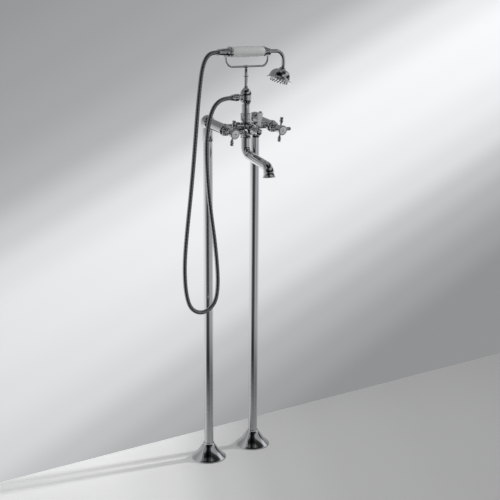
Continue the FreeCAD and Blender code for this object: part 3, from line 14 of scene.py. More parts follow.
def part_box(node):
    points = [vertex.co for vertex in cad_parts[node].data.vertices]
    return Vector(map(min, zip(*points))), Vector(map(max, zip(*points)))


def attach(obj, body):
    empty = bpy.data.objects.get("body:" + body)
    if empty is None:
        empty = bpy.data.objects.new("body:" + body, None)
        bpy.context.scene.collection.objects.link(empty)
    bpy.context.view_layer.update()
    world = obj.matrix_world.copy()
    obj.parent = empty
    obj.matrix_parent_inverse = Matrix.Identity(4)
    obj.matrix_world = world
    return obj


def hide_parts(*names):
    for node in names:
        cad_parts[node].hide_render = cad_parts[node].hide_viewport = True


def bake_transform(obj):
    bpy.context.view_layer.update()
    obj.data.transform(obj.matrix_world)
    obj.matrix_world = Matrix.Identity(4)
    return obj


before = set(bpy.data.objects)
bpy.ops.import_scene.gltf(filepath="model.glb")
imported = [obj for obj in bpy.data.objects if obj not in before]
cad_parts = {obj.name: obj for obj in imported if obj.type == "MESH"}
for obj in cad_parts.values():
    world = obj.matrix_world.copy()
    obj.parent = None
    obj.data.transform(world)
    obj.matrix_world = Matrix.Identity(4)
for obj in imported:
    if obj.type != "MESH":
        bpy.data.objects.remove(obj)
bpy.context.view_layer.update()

# ---- Camera and room. The filler stands on a pale floor just in front of a wall, in a studio.
# The wall has a band of light painted on it, from upper right to lower left, and shows it as a
# glow to the eye and to mirrors. It is stage, not part of the object, and from behind it lets the
# eye through.

YAW, PITCH, ROLL = (math.radians(angle) for angle in (37.37, 13.11, 0.37))
CAMERA_AT = Vector((-1.6077, -2.1862, 1.2014))
# millimetres of lens and of sensor
LENS, SENSOR = 75.665, 36
# the wall and the floor reach this far either way from their middles
SHEET_REACH = 6.0
# the wall's distance behind the standpipes, and how far it turns from the line between them
WALL_PLACE, WALL_TURN = 0.163, math.radians(-2.6)


class Signal:
    """An output of a shader node. Arithmetic on it adds Math nodes."""

    def __init__(self, tree, socket=None):
        self.tree, self.socket = tree, socket

    def node(self, kind, settings=None, inputs=None, output=0):
        """Adds a node, sets its settings and then its sockets, and gives one of its outputs."""
        made = self.tree.nodes.new(kind)
        for name, value in (settings or {}).items():
            if name == "stops":
                ramp = made.color_ramp
                for index, (place, colour) in enumerate(value):
                    stop = ramp.elements[index] if index < 2 else ramp.elements.new(place)
                    stop.position, stop.color = place, (*colour, 1.0)
            elif name == "spread":
                made.color_ramp.interpolation = value
            else:
                setattr(made, name, value)
        for name, value in (inputs or {}).items():
            if isinstance(value, Signal):
                self.tree.links.new(value.socket, made.inputs[name])
            else:
                made.inputs[name].default_value = value
        return Signal(self.tree, made.outputs[output] if made.outputs else None)

    def output(self, name):
        """Another output of the same node."""
        return Signal(self.tree, self.socket.node.outputs[name])

    def maths(self, operation, first, second=0.0):
        return self.node("ShaderNodeMath", {"operation": operation}, {0: first, 1: second})

    def __add__(self, other):
        return self.maths("ADD", self, other)

    __radd__ = __add__

    def __sub__(self, other):
        return self.maths("SUBTRACT", self, other)

    def __rsub__(self, other):
        return self.maths("SUBTRACT", other, self)

    def __mul__(self, other):
        return self.maths("MULTIPLY", self, other)

    __rmul__ = __mul__

    def __truediv__(self, other):
        return self.maths("DIVIDE", self, other)


def grey(level, warmth=0.0):
    """A grey of that screen level, 0 to 255, as a linear colour, bluer where warmth is below 0."""
    tint = (1 + warmth, 1.0, 1 - warmth)
    return tuple(((level * share / 255 + 0.055) / 1.055) ** 2.4 for share in tint)


def object_place(start):
    """Object coordinates, and their X, Y and Z."""
    place = start.node("ShaderNodeTexCoord", output="Object")
    x = start.node("ShaderNodeSeparateXYZ", inputs={0: place})
    return place, x, x.output("Y"), x.output("Z")


def soft_ramp(start, share, stops):
    """A colour ramp with eased steps, read at the share."""
    return start.node("ShaderNodeValToRGB", {"stops": stops, "spread": "EASE"}, {0: share})


def scaled(start, colour, share):
    return start.node("ShaderNodeVectorMath", {"operation": "SCALE"}, {0: colour, "Scale": share})


def noise(start, place, scale, detail):
    return start.node(
        "ShaderNodeTexNoise", inputs={"Vector": place, "Scale": scale, "Detail": detail}
    )


def raised(start, height, strength, distance):
    """A Bump node's normal."""
    return start.node(
        "ShaderNodeBump", inputs={"Height": height, "Strength": strength, "Distance": distance}
    )


def mixed(start, share, first, second):
    """A Mix Shader node."""
    return start.node("ShaderNodeMixShader", inputs={0: share, 1: first, 2: second})


def mirror_rays(start, *others):
    """1 for rays from a mirror or through glass, and of the other kinds given; 0 for the rest."""
    path = start.node("ShaderNodeLightPath")
    seen = path.output("Is Glossy Ray") + path.output("Is Transmission Ray")
    for kind in others:
        seen = seen + path.output(kind)
    return start.maths("MINIMUM", seen, 1.0)


def new_material(name):
    material = bpy.data.materials.new(name)
    material.use_nodes = True
    material.node_tree.nodes.clear()
    return material, Signal(material.node_tree)


def stage_sheet(name, place, turn, material):
    """A large flat square of the stage."""
    form = bmesh.new()
    bmesh.ops.create_grid(form, x_segments=1, y_segments=1, size=SHEET_REACH)
    bmesh.ops.transform(form, matrix=Matrix.Translation(place) @ turn, verts=form.verts)
    mesh = bpy.data.meshes.new(name)
    form.to_mesh(mesh)
    form.free()
    sheet = bpy.data.objects.new(name, mesh)
    bpy.context.scene.collection.objects.link(sheet)
    mesh.materials.append(material)


camera = bpy.data.objects.new("camera", bpy.data.cameras.new("camera"))
bpy.context.scene.collection.objects.link(camera)
camera.matrix_world = (
    Matrix.Translation(CAMERA_AT)
    @ Matrix.Rotation(-YAW, 4, "Z")
    @ Matrix.Rotation(math.pi / 2 - PITCH, 4, "X")
    @ Matrix.Rotation(ROLL, 4, "Z")
)
camera.data.lens, camera.data.sensor_width = LENS, SENSOR
bpy.context.scene.camera = camera
bpy.context.scene.view_settings.view_transform = "Standard"

# across the painted band of light: place, in pixels of the photograph, and the wall's screen level
# there
PAINTED_LIGHT_BAND = [
    (-220, 146),
    (-180, 161),
    (-140, 178),
    (-110, 195),
    (-77, 219),
    (-40, 231),
    (0, 239),
    (30, 241),
    (60, 231),
    (90, 208),
    (130, 179),
    (180, 166),
    (230, 160),
    (300, 152),
]
BAND_LOW, BAND_WIDTH = -240, 560
WALL_WARMTH = -0.006
# the place as a fraction of two sums over the wall's X, Z and 1, from the camera's perspective; the
# sum below stays over the least, far out where it would come to nothing
BAND_ABOVE = (-112.82, 289.32, -170.43)
BAND_BELOW = (0.19453, -0.07464, 1.0)
BELOW_LEAST = 0.2
# the band's upper side is narrower to the right of this X, and wider to the left of it, by this
# share for each metre
FAN_FROM, FAN_SHARE = 0.17, 0.24
# the painted band of light is brighter by this much for each metre to the right, and darker by this
# much for each metre to the left; the power keeps that from the darker wall beside it
GAIN_RIGHT, GAIN_LEFT, GAIN_POWER = 0.11, 0.28, 3.0
# as polished metal mirrors it, and only there, the wall fades by this share between two slopes of
# the mirrored ray, because the photograph's room is dark overhead
FADE_FROM, FADE_TO, FADE_SHARE = -0.12, -0.42, 0.48


def wall_material():
    material, start = new_material("studio_wall")
    _, x, _, z = object_place(start)
    above = BAND_ABOVE[0] * x + BAND_ABOVE[1] * z + BAND_ABOVE[2]
    below = BAND_BELOW[0] * x + BAND_BELOW[1] * z + BAND_BELOW[2]
    across = above / start.maths("MAXIMUM", below, BELOW_LEAST)
    across = across + start.maths("MINIMUM", across, 0.0) * (x - FAN_FROM) * FAN_SHARE
    stops = [((place - BAND_LOW) / BAND_WIDTH, grey(level, WALL_WARMTH)) for place, level in PAINTED_LIGHT_BAND]
    # painted light: the band of light is painted into the wall's colour
    band = soft_ramp(start, (across - BAND_LOW) / BAND_WIDTH, stops)
    painted_gain = start.maths("MINIMUM", GAIN_LEFT * x, GAIN_RIGHT * x)
    colour = scaled(start, band, 1.0 + painted_gain * start.maths("POWER", band, GAIN_POWER))
    way = start.node("ShaderNodeNewGeometry", output="Incoming")
    slope = start.node("ShaderNodeSeparateXYZ", inputs={0: way}).output("Z")
    fade = start.node(
        "ShaderNodeMapRange", inputs={"Value": slope, "From Min": FADE_FROM, "From Max": FADE_TO}
    )
    glossy = start.node("ShaderNodeLightPath").output("Is Glossy Ray")
    shown_colour = scaled(start, colour, 1.0 - FADE_SHARE * fade * glossy)
    lit = start.node("ShaderNodeBsdfDiffuse", inputs={"Color": colour})
    # painted light: to the eye and to mirrors the wall glows with its painted band, though it is no
    # lamp
    shown = start.node("ShaderNodeEmission", inputs={"Color": shown_colour, "Strength": 1.0})
    wall = mixed(start, mirror_rays(start, "Is Camera Ray"), lit, shown)
    clear = start.node("ShaderNodeBsdfTransparent")
    behind = start.node("ShaderNodeNewGeometry", output="Backfacing")
    start.node("ShaderNodeOutputMaterial", inputs={"Surface": mixed(start, behind, wall, clear)})
    return material


# painted light along the floor from left to right, brighter towards the left: place and screen
# level
PAINTED_FLOOR_LEVELS = [
    (0.0, 236),
    (0.17, 238),
    (0.27, 228),
    (0.35, 205),
    (0.44, 191),
    (0.56, 184),
    (0.75, 179),
    (1.0, 174),
]
# those places run over this many metres, from this far left of the origin, and lean with Y
FLOOR_WIDTH, FLOOR_LEFT, FLOOR_LEAN = 2.0, 0.75, 0.6
# painted light: the floor brightens towards the wall, most of all just left of the pipes: place and
# share
PAINTED_WALLWARD_SHARES = [(0.05, 0.35), (0.26, 1.0), (0.35, 1.0), (0.43, 0.0)]
PAINTED_WALLWARD_GAIN, WALLWARD_FROM = 0.9, 0.01
# polished metal sees only the floor close by, and past these distances more and more of the room
NEAR, FAR, LEAST_ROOM = 0.05, 0.9, 0.55


def floor_material():
    material, start = new_material("studio_floor")
    place, x, y, _ = object_place(start)
    across = (x - FLOOR_LEAN * y + FLOOR_LEFT) / FLOOR_WIDTH
    # painted light: the floor's colour carries a pool of light, brighter to the left and towards
    # the wall
    levels = soft_ramp(start, across, [(spot, grey(level)) for spot, level in PAINTED_FLOOR_LEVELS])
    shares = [(spot, (share, share, share)) for spot, share in PAINTED_WALLWARD_SHARES]
    share = start.node("ShaderNodeValToRGB", {"stops": shares}, {0: across})
    painted_gain = PAINTED_WALLWARD_GAIN * start.maths("MAXIMUM", y + WALLWARD_FROM, 0.0) * share
    colour = scaled(start, levels, 1.0 + painted_gain)
    matt = start.node(
        "ShaderNodeBsdfPrincipled",
        inputs={
            "Base Color": colour,
            "Roughness": 0.6,
            "Specular IOR Level": 0.15,
            # painted light: the floor glows a little in its own colour, though it is no lamp
            "Emission Color": colour,
            "Emission Strength": 0.32,
            "Normal": raised(
                start, noise(start, place, scale=90.0, detail=3.0), strength=0.04, distance=0.001
            ),
        },
    )
    path = start.node("ShaderNodeLightPath")
    room = start.node(
        "ShaderNodeMapRange",
        {"interpolation_type": "SMOOTHSTEP"},
        {
            "Value": path.output("Ray Length"),
            "From Min": NEAR,
            "From Max": FAR,
            "To Min": LEAST_ROOM,
        },
    )
    clear = start.node("ShaderNodeBsdfTransparent")
    floor = mixed(start, path.output("Is Glossy Ray") * room, matt, clear)
    start.node("ShaderNodeOutputMaterial", inputs={"Surface": floor})
    return material


upright = Matrix.Rotation(WALL_TURN, 4, "Z") @ Matrix.Rotation(math.pi / 2, 4, "X")
stage_sheet("wall", Vector((0, WALL_PLACE, 0)), upright, wall_material())
stage_sheet("floor", Vector((0, 0, 0)), Matrix.Identity(4), floor_material())

# what polished metal sees of the studio, by the compass: degrees from the front (-Y) towards +X,
# and level
ROUND_THE_ROOM = [
    (-180, 200),
    (-100, 170),
    (-88, 150),
    (-72, 125),
    (-64, 45),
    (-47, 38),
    (-38, 68),
    (-20, 100),
    (-4, 120),
    (1, 205),
    (6, 200),
    (12, 160),
    (58, 165),
    (80, 225),
    (100, 245),
    (180, 200),
]
# the same by height, as shares of those levels: dark floor, and dark strips between the lights
BY_HEIGHT = [
    (-1.0, 70),
    (-0.55, 60),
    (-0.36, 150),
    (-0.28, 255),
    (0.02, 255),
    (0.1, 190),
    (0.18, 70),
    (0.34, 60),
    (0.42, 225),
    (0.62, 245),
    (0.72, 90),
    (0.86, 60),
    (1.0, 190),
]
ROOM_WARMTH = -0.01
# strength of the soft light from the horizon, and how much less it is from overhead
AROUND, AROUND_LOSS = 0.62, 0.48
# the room that the eye sees past the wall
BEYOND = grey(214, WALL_WARMTH)


def world_light():
    world = bpy.data.worlds.new("studio")
    bpy.context.scene.world = world
    world.use_nodes = True
    world.node_tree.nodes.clear()
    start = Signal(world.node_tree)
    way = start.node("ShaderNodeTexCoord", output="Generated")
    x = start.node("ShaderNodeSeparateXYZ", inputs={0: way})
    y, z = x.output("Y"), x.output("Z")
    bearing = start.maths("ARCTAN2", x, y * -1.0) / (2 * math.pi) + 0.5
    bearings = [(angle / 360 + 0.5, grey(level, ROOM_WARMTH)) for angle, level in ROUND_THE_ROOM]
    heights = [(height / 2 + 0.5, grey(share)) for height, share in BY_HEIGHT]
    room = soft_ramp(start, bearing, bearings)
    mirrored = scaled(start, room, soft_ramp(start, z / 2.0 + 0.5, heights))
    level = AROUND - AROUND_LOSS * start.maths("MAXIMUM", z, 0.0)
    soft, pale, seen = (
        start.node("ShaderNodeBackground", inputs={"Color": colour})
        for colour in (level, (*BEYOND, 1.0), mirrored)
    )
    eye = mixed(start, start.node("ShaderNodeLightPath", output="Is Camera Ray"), soft, pale)
    whole = mixed(start, mirror_rays(start), eye, seen)
    start.node("ShaderNodeOutputWorld", inputs={"Surface": whole})


world_light()

# the key light comes from the right, a little in front, and throws the pipes' shadows to the left
KEY_ENERGY, KEY_ANGLE, KEY_FROM = 1.35, math.radians(3), Vector((0.968, -0.25, 0.70))
key = bpy.data.objects.new("key_light", bpy.data.lights.new("key_light", "SUN"))
bpy.context.scene.collection.objects.link(key)
key.data.energy, key.data.angle = KEY_ENERGY, KEY_ANGLE
key.visible_glossy = False
key.rotation_euler = KEY_FROM.to_track_quat("Z", "Y").to_euler()

# ---- Shower hose: an interlocked spiral of chromed brass strip, 1.32 m long, hanging in one loop.
# It runs from the nut under the handset's grip to the nut at the riser's outlet.

# the riser, the hose and the handset share one upright plane, and the grip's axis has this height
FRONT_PLANE, GRIP_HEIGHT = -0.06, 1.088
SIDEWAYS = Vector((0, 1, 0))
# X and Z in millimetres
HOSE_ROUTE = [
    (-87.0, 1088.0),
    (-102.5, 1088.0),
    (-116.6, 1081.5),
    (-127.6, 1066.0),
    (-135.0, 1042.0),
    (-140.7, 1005.5),
    (-148.8, 940.0),
    (-157.2, 850.0),
    (-168.3, 750.0),
    (-181.0, 655.0),
    (-189.0, 580.0),
    (-189.0, 527.1),
    (-184.4, 487.3),
    (-174.5, 456.0),
    (-155.0, 438.5),
    (-131.0, 433.8),
    (-108.0, 442.6),
    (-92.5, 462.2),
    (-87.0, 500.0),
    (-88.6, 545.0),
    (-96.2, 615.0),
    (-106.9, 680.0),
    (-115.6, 745.0),
    (-120.1, 805.0),
    (-121.6, 858.0),
    (-117.3, 904.9),
    (-108.8, 937.0),
    (-94.4, 962.4),
    (-70.0, 975.5),
    (-46.5, 975.5),
]
# the spiral moves on by its pitch with each turn
HOSE_RADIUS, HOSE_PITCH, HOSE_SIDES = 0.0055, 0.0035, 20
# how far each ring of one turn of the strip lies under the outside
HOSE_STRIP = [0.0005, 0.00012, 0.0, 0.0, 0.0, 0.00012]
# the strip's chrome face, and the near black painted into its grooves as shade
STRIP_FACE, STRIP_GROOVE_SHADE = (0.52, 0.53, 0.55), (0.012, 0.012, 0.013)


def hose_line():
    """The hose's middle line, close points read from the spline through its route."""
    curve = bpy.data.curves.new("hose_line", "CURVE")
    curve.dimensions = "3D"
    curve.resolution_u = 48
    spline = curve.splines.new("NURBS")
    spline.points.add(len(HOSE_ROUTE) - 1)
    for point, (across, up) in zip(spline.points, HOSE_ROUTE):
        point.co = (across / 1000, FRONT_PLANE, up / 1000, 1.0)
    spline.order_u = 3
    spline.use_endpoint_u = True
    carrier = bpy.data.objects.new("hose_line", curve)
    mesh = bpy.data.meshes.new_from_object(carrier)
    points = np.array([vertex.co for vertex in mesh.vertices])
    bpy.data.objects.remove(carrier)
    bpy.data.curves.remove(curve)
    bpy.data.meshes.remove(mesh)
    return points


def finish_mesh(form, name, material, body=None, smooth=True):
    """Makes an object of the form, and gives it its body, finish and material."""
    mesh = bpy.data.meshes.new(name)
    form.to_mesh(mesh)
    form.free()
    piece = bpy.data.objects.new(name, mesh)
    bpy.context.scene.collection.objects.link(piece)
    mesh.materials.append(material)
    mesh.polygons.foreach_set("use_smooth", [smooth] * len(mesh.polygons))
    if body:
        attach(piece, body)
    return piece


def between(start, share, first, second):
    """The colour that lies between two by the share."""
    return start.node(
        "ShaderNodeMix",
        {"data_type": "RGBA"},
        {"Factor": share, 6: (*first, 1.0), 7: (*second, 1.0)},
        output=2,
    )


def surface(start, **sockets):
    """Joins a Principled shader with these sockets, an underscore for each space, to the output."""
    inputs = {name.replace("_", " "): value for name, value in sockets.items()}
    shader = start.node("ShaderNodeBsdfPrincipled", inputs=inputs)
    start.node("ShaderNodeOutputMaterial", inputs={"Surface": shader})


def hose_material():
    material, start = new_material("spiral_hose_chrome")
    place, *_ = object_place(start)
    depth = start.node("ShaderNodeAttribute", {"attribute_name": "groove"}, output="Fac")
    rub = noise(start, place, scale=140.0, detail=4.0)
    surface(
        start,
        # painted shade: the grooves are near black, by their depth, and also really rougher
        Base_Color=between(start, depth, STRIP_FACE, STRIP_GROOVE_SHADE),
        Metallic=1.0,
        Roughness=0.05 + 0.07 * rub + 0.3 * depth,
    )
    return material


def shower_hose():
    line = hose_line()
    steps = np.linalg.norm(np.diff(line, axis=0), axis=1)
    along = np.concatenate([[0], np.cumsum(steps)])
    length = along[-1]
    turn = len(HOSE_STRIP)
    rings = round(length / HOSE_PITCH) * turn
    step = length / rings

    def middle(reach):
        """The point, or points, of the middle line that far along it."""
        return np.stack([np.interp(reach, along, line[:, axis]) for axis in range(3)], axis=-1)

    form = bmesh.new()
    grooves = form.verts.layers.float.new("groove")
    bmesh.ops.create_grid(form, x_segments=rings + turn, y_segments=HOSE_SIDES, size=1.0)
    for vertex in form.verts:
        ring = round((vertex.co.x + 1) / 2 * (rings + turn)) - turn
        side = round((vertex.co.y + 1) / 2 * HOSE_SIDES)
        reach = min(max((ring + turn * side / HOSE_SIDES) * step, 0.0), length)
        way = Vector(middle(reach + step) - middle(reach - step)).normalized()
        angle = 2 * math.pi * side / HOSE_SIDES
        out = math.cos(angle) * SIDEWAYS.cross(way) + math.sin(angle) * SIDEWAYS
        low = HOSE_STRIP[ring % turn]
        vertex.co = Vector(middle(reach)) + (HOSE_RADIUS - low) * out
        vertex[grooves] = low / max(HOSE_STRIP)
    bmesh.ops.remove_doubles(form, verts=form.verts, dist=0.00002)
    bmesh.ops.holes_fill(form, edges=form.edges, sides=0)
    bmesh.ops.recalc_face_normals(form, faces=form.faces)
    hose = finish_mesh(form, "spiral_hose", hose_material())
    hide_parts("shower_hose")
    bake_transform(hose)


shower_hose()

# ---- Standpipes: drawn brass tube, 25 mm across, chromed and polished lengthwise.
# Each stands in its floor socket and carries a valve body at its top.

SIDES = (("left", -1), ("right", 1))
PIPE_X = 0.075
# radii and the width of the chamfer, in millimetres
PIPE_OUTER, PIPE_INNER, PIPE_RIM = 12.5, 11.0, 0.3
CHROME_LOW, CHROME_HIGH = (0.776, 0.788, 0.80), (0.816, 0.824, 0.84)


def chrome(name, marks_place, scale, strength, grain=0.035):
    """Polished chrome. marks_place(start) gives the coordinates of its finest marks."""
    material, start = new_material(name)
    place, *_ = object_place(start)
    cloud = noise(start, place, scale=22.0, detail=3.0)
    marks = start.node(
        "ShaderNodeTexNoise",
        inputs={
            "Vector": marks_place(start),
            "Scale": scale,
            "Detail": 4.0,
            "Roughness": 0.6,
        },
    )
    surface(
        start,
        Base_Color=between(start, cloud, CHROME_LOW, CHROME_HIGH),
        Metallic=1.0,
        Roughness=grain * (0.5 + 0.6 * cloud + 0.6 * marks),
        Normal=raised(start, marks, strength, distance=0.0002),
    )
    return material


def lengthwise(start):
    """Object coordinates squeezed along Z, so that the marks run up and down."""
    place, *_ = object_place(start)
    return start.node("ShaderNodeMapping", inputs={"Vector": place, "Scale": (1.0, 1.0, 0.02)})


def lathe(outline, steps=96):
    """Turns an outline of radii and heights, in millimetres, about Z, closed at its ends."""
    form = bmesh.new()
    points = [form.verts.new((radius / 1000, 0, height / 1000)) for radius, height in outline]
    edges = [form.edges.new(pair) for pair in zip(points, points[1:] + points[:1])]
    bmesh.ops.spin(
        form,
        geom=points + edges,
        axis=(0, 0, 1),
        cent=(0, 0, 0),
        steps=steps,
        angle=2 * math.pi,
        use_merge=True,
    )
    bmesh.ops.remove_doubles(form, verts=form.verts, dist=1e-7)
    bmesh.ops.recalc_face_normals(form, faces=form.faces)
    return form


def sharpen(piece, crisp):
    """Keeps the edges of more than that many degrees crisp under smooth shading."""
    split = piece.modifiers.new("crisp_edges", "EDGE_SPLIT")
    split.split_angle = math.radians(crisp)


def stand_in(form, place, name, node, material, body, crisp):
    """Puts a form in its place as a piece that replaces a CAD node."""
    bmesh.ops.transform(form, matrix=place, verts=form.verts)
    piece = finish_mesh(form, name, material, body)
    sharpen(piece, crisp)
    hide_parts(node)


drawn_chrome = chrome("drawn_chrome", lengthwise, scale=900.0, strength=0.003, grain=0.03)
for word, side in SIDES:
    foot, head = (corner.z * 1000 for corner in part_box(f"standpipe_{word}"))
    tube = lathe(
        [
            (PIPE_INNER, foot),
            (PIPE_OUTER - PIPE_RIM, foot),
            (PIPE_OUTER, foot + PIPE_RIM),
            (PIPE_OUTER, head - PIPE_RIM),
            (PIPE_OUTER - PIPE_RIM, head),
            (PIPE_INNER, head),
        ]
    )
    place = Matrix.Translation((side * PIPE_X, 0, 0))
    name, node = f"drawn_pipe_{word}", f"standpipe_{word}"
    stand_in(tube, place, name, node, drawn_chrome, "root", crisp=35)

# ---- Sleeves, bonnets and nuts: brass turned on a lathe, polished and chromed.
# They are screwed together, and the finest rings that the lathe left show in the reflections.

# the arms of the valves and of the diverter slope forward and down by this much
ARM_TILT = math.radians(9.5)
ARM_WAY = (0.0, -math.cos(ARM_TILT), -math.sin(ARM_TILT))


def turned_chrome(name, way):
    """Chrome whose marks are rings round an axis, as a lathe leaves them."""

    def along_axis(start):
        place, *_ = object_place(start)
        reach = start.node(
            "ShaderNodeVectorMath", {"operation": "DOT_PRODUCT"}, {0: place, 1: way}, output="Value"
        )
        return start.node("ShaderNodeCombineXYZ", inputs={"X": reach})

    return chrome(name, along_axis, scale=1500.0, strength=0.008)


upright_chrome = turned_chrome("lathe_chrome_upright", (0.0, 0.0, 1.0))
sideways_chrome = turned_chrome("lathe_chrome_sideways", (1.0, 0.0, 0.0))
sloping_chrome = turned_chrome("lathe_chrome_sloping", ARM_WAY)


def dress(material, *nodes):
    """Gives CAD nodes their material, with smooth shading between their edges."""
    for name in nodes:
        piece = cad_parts[name]
        piece.data.materials.clear()
        piece.data.materials.append(material)
        piece.data.polygons.foreach_set("use_smooth", [True] * len(piece.data.polygons))
        weld = piece.modifiers.new("joined_faces", "WELD")
        weld.merge_threshold = 1e-6
        sharpen(piece, crisp=32)


dress(
    upright_chrome,
    "pillar_sleeve_left",
    "pillar_sleeve_right",
    "spout_nut",
    "riser_nut",
    "riser_base",
)
dress(
    sideways_chrome,
    "union_nut_left",
    "union_nut_right",
    "hose_union",
    "hose_nut_lower",
    "hose_nut_upper",
    "grip_ring_rear",
)
dress(
    sloping_chrome,
    "valve_bonnet_left",
    "valve_bonnet_right",
    "diverter_bonnet",
    "index_bezel_left",
    "index_bezel_right",
)

# ---- Bell covers: brass sheet spun into a trumpet, polished and chromed.
# They slide down the standpipes and hide the floor sockets. In the photograph they are taller and
# straighter than in the CAD model.

BELL = [
    (47.0, 0.0),
    (47.0, 3.0),
    (46.0, 4.3),
    (42.2, 7.4),
    (37.2, 12.0),
    (32.6, 16.6),
    (28.8, 21.4),
    (25.4, 26.2),
    (21.8, 31.6),
    (18.8, 36.0),
    (16.4, 39.2),
    (14.6, 41.0),
    (14.4, 44.0),
    (12.7, 44.0),
    (12.7, 40.4),
    (15.2, 38.0),
    (17.4, 35.0),
    (20.4, 30.6),
    (24.0, 25.2),
    (27.4, 20.4),
    (31.2, 15.6),
    (35.8, 11.0),
    (40.6, 6.6),
    (45.4, 2.6),
    (45.4, 0.0),
]
for word, side in SIDES:
    bell = lathe(BELL, steps=128)
    place = Matrix.Translation((side * PIPE_X, 0, 0))
    name, node = f"bell_trumpet_{word}", f"bell_cover_{word}"
    stand_in(bell, place, name, node, upright_chrome, "root", crisp=28)

# ---- Castings: valve bodies, mixer body, spout, riser bulb, cradle, and the lever's hub and cap.
# Cast brass, linished and buffed before chroming, so their faces are very slightly uneven.


def even(start):
    """Plain object coordinates, so that the marks run no way more than another."""
    return object_place(start)[0]


cast_chrome = chrome("cast_chrome", even, scale=260.0, strength=0.012)
dress(
    cast_chrome,
    "valve_body_left",
    "valve_body_right",
    "mixer_body",
    "spout",
    "riser_bulb",
    "cradle",
    "lever_hub",
    "lever_cap",
)

# ---- Cross handles: hub and four club-shaped spokes, cast in one and polished.
# A screw under the index disc holds each on its spindle. The spokes are 3 mm longer and fuller in
# the photograph than in the CAD model; the hub is the same.

# the hub's radii, and distances along the arm from the standpipe's axis; then a spoke's radii, and
# distances from the hub's axis
HUB = [
    (3.2, 92.6),
    (7.8, 92.6),
    (8.9, 95.2),
    (9.8, 98.6),
    (10.5, 103.0),
    (10.5, 114.6),
    (10.1, 115.0),
    (4.6, 115.0),
    (4.6, 103.5),
    (3.2, 103.5),
]
SPOKE = [
    (0.0, 5.5),
    (2.4, 5.5),
    (2.4, 13.5),
    (3.1, 17.0),
    (4.3, 20.5),
    (5.1, 23.4),
    (4.7, 25.6),
    (3.5, 26.9),
    (3.5, 27.3),
    (4.5, 28.3),
    (4.8, 29.8),
    (4.2, 31.3),
    (2.6, 32.3),
    (0.0, 32.6),
]
# the spokes' plane, from the axis of the standpipe along the arm, and the height of the arm there
SPOKE_PLANE = 0.1085
PIVOT_HEIGHT = 0.912041
facing = Matrix.Rotation(math.pi / 2 + ARM_TILT, 4, "X")
lying = Matrix.Rotation(math.pi / 2, 4, "Y")
HANDLE_BODY = {"left": "hot_handle", "right": "cold_handle"}
for word, side in SIDES:
    hub = lathe(HUB)
    carrier = bpy.data.meshes.new(f"spoke_{word}")
    for quarter in range(4):
        spoke = lathe(SPOKE, steps=48)
        outwards = Matrix.Rotation(quarter * math.pi / 2, 4, "Z") @ lying
        out_there = Matrix.Translation((0, 0, SPOKE_PLANE)) @ outwards
        bmesh.ops.transform(spoke, matrix=out_there, verts=spoke.verts)
        spoke.to_mesh(carrier)
        spoke.free()
        hub.from_mesh(carrier)
    bpy.data.meshes.remove(carrier)
    place = Matrix.Translation((side * PIPE_X, 0, PIVOT_HEIGHT)) @ facing
    name, node = f"cast_handle_{word}", f"cross_handle_{word}"
    stand_in(hub, place, name, node, cast_chrome, HANDLE_BODY[word], crisp=32)

# ---- Ceramic grip, lever and index discs: slip-cast, glazed white and fired.
# The grip is held between two turned rings by the tube inside it. In the photograph it is a little
# shorter and fuller than in the CAD model, and its front ring longer.

GLAZE_LOW, GLAZE_HIGH = (0.70, 0.705, 0.71), (0.76, 0.765, 0.77)
# radii, and distances along the handset from its middle
GRIP = [
    (12.6, -47.0),
    (13.0, -46.0),
    (13.8, -25.0),
    (14.1, 2.0),
    (13.6, 30.0),
    (12.5, 51.0),
    (12.0, 52.0),
    (7.5, 52.0),
    (7.5, -47.0),
]
FRONT_RING = [
    (5.4, 52.0),
    (12.6, 52.0),
    (13.2, 53.2),
    (13.2, 55.2),
    (11.8, 56.6),
    (8.6, 57.4),
    (8.4, 59.6),
    (10.2, 60.6),
    (10.8, 61.6),
    (10.8, 63.2),
    (9.6, 64.6),
    (8.0, 65.5),
    (8.0, 73.0),
    (7.2, 73.6),
    (5.4, 73.6),
]


def ceramic_material():
    material, start = new_material("white_glaze")
    place, *_ = object_place(start)
    cloud = noise(start, place, scale=35.0, detail=4.0)
    speck = noise(start, place, scale=900.0, detail=2.0)
    surface(
        start,
        Base_Color=between(start, cloud, GLAZE_LOW, GLAZE_HIGH),
        Roughness=0.12 + 0.06 * speck,
        Coat_Weight=0.6,
        Coat_Roughness=0.03,
        Normal=raised(start, cloud, strength=0.05, distance=0.0005),
    )
    return material


white_glaze = ceramic_material()
dress(white_glaze, "ceramic_lever", "index_disc_left", "index_disc_right")
along_grip = Matrix.Translation((0, FRONT_PLANE, GRIP_HEIGHT)) @ lying
for name, node, outline, skin, slot in (
    ("glazed_grip", "ceramic_grip", GRIP, white_glaze, "white_ceramic"),
    ("turned_front_ring", "grip_ring_front", FRONT_RING, sideways_chrome, "chrome"),
):
    stand_in(lathe(outline), along_grip, name, node, skin, "handset", crisp=28)

# ---- Inside: sockets, cartridges, spindles and the grip's tube of brass, with seals, ceramic
# discs, screws and the spout's plastic stream former. None of it shows once the filler is fitted.

BRASS_LOW, BRASS_HIGH = (0.70, 0.55, 0.26), (0.82, 0.68, 0.38)
RUBBER_LOW, RUBBER_HIGH = (0.02, 0.02, 0.02), (0.05, 0.05, 0.05)
DISC_LOW, DISC_HIGH = (0.8, 0.8, 0.77), (0.88, 0.88, 0.86)
STEEL_LOW, STEEL_HIGH = (0.5, 0.5, 0.52), (0.64, 0.64, 0.66)
PLASTIC_LOW, PLASTIC_HIGH = (0.84, 0.84, 0.84), (0.9, 0.9, 0.9)


def plain_material(name, low, high, roughness, scale, metallic=0.0):
    """A cloudy colour between two, with a little roughness of its own."""
    material, start = new_material(name)
    place, *_ = object_place(start)
    cloud = noise(start, place, scale, detail=5.0)
    surface(
        start,
        Base_Color=between(start, cloud, low, high),
        Metallic=metallic,
        Roughness=roughness * (0.8 + 0.4 * cloud),
        Normal=raised(start, cloud, strength=0.1, distance=0.0002),
    )
    return material


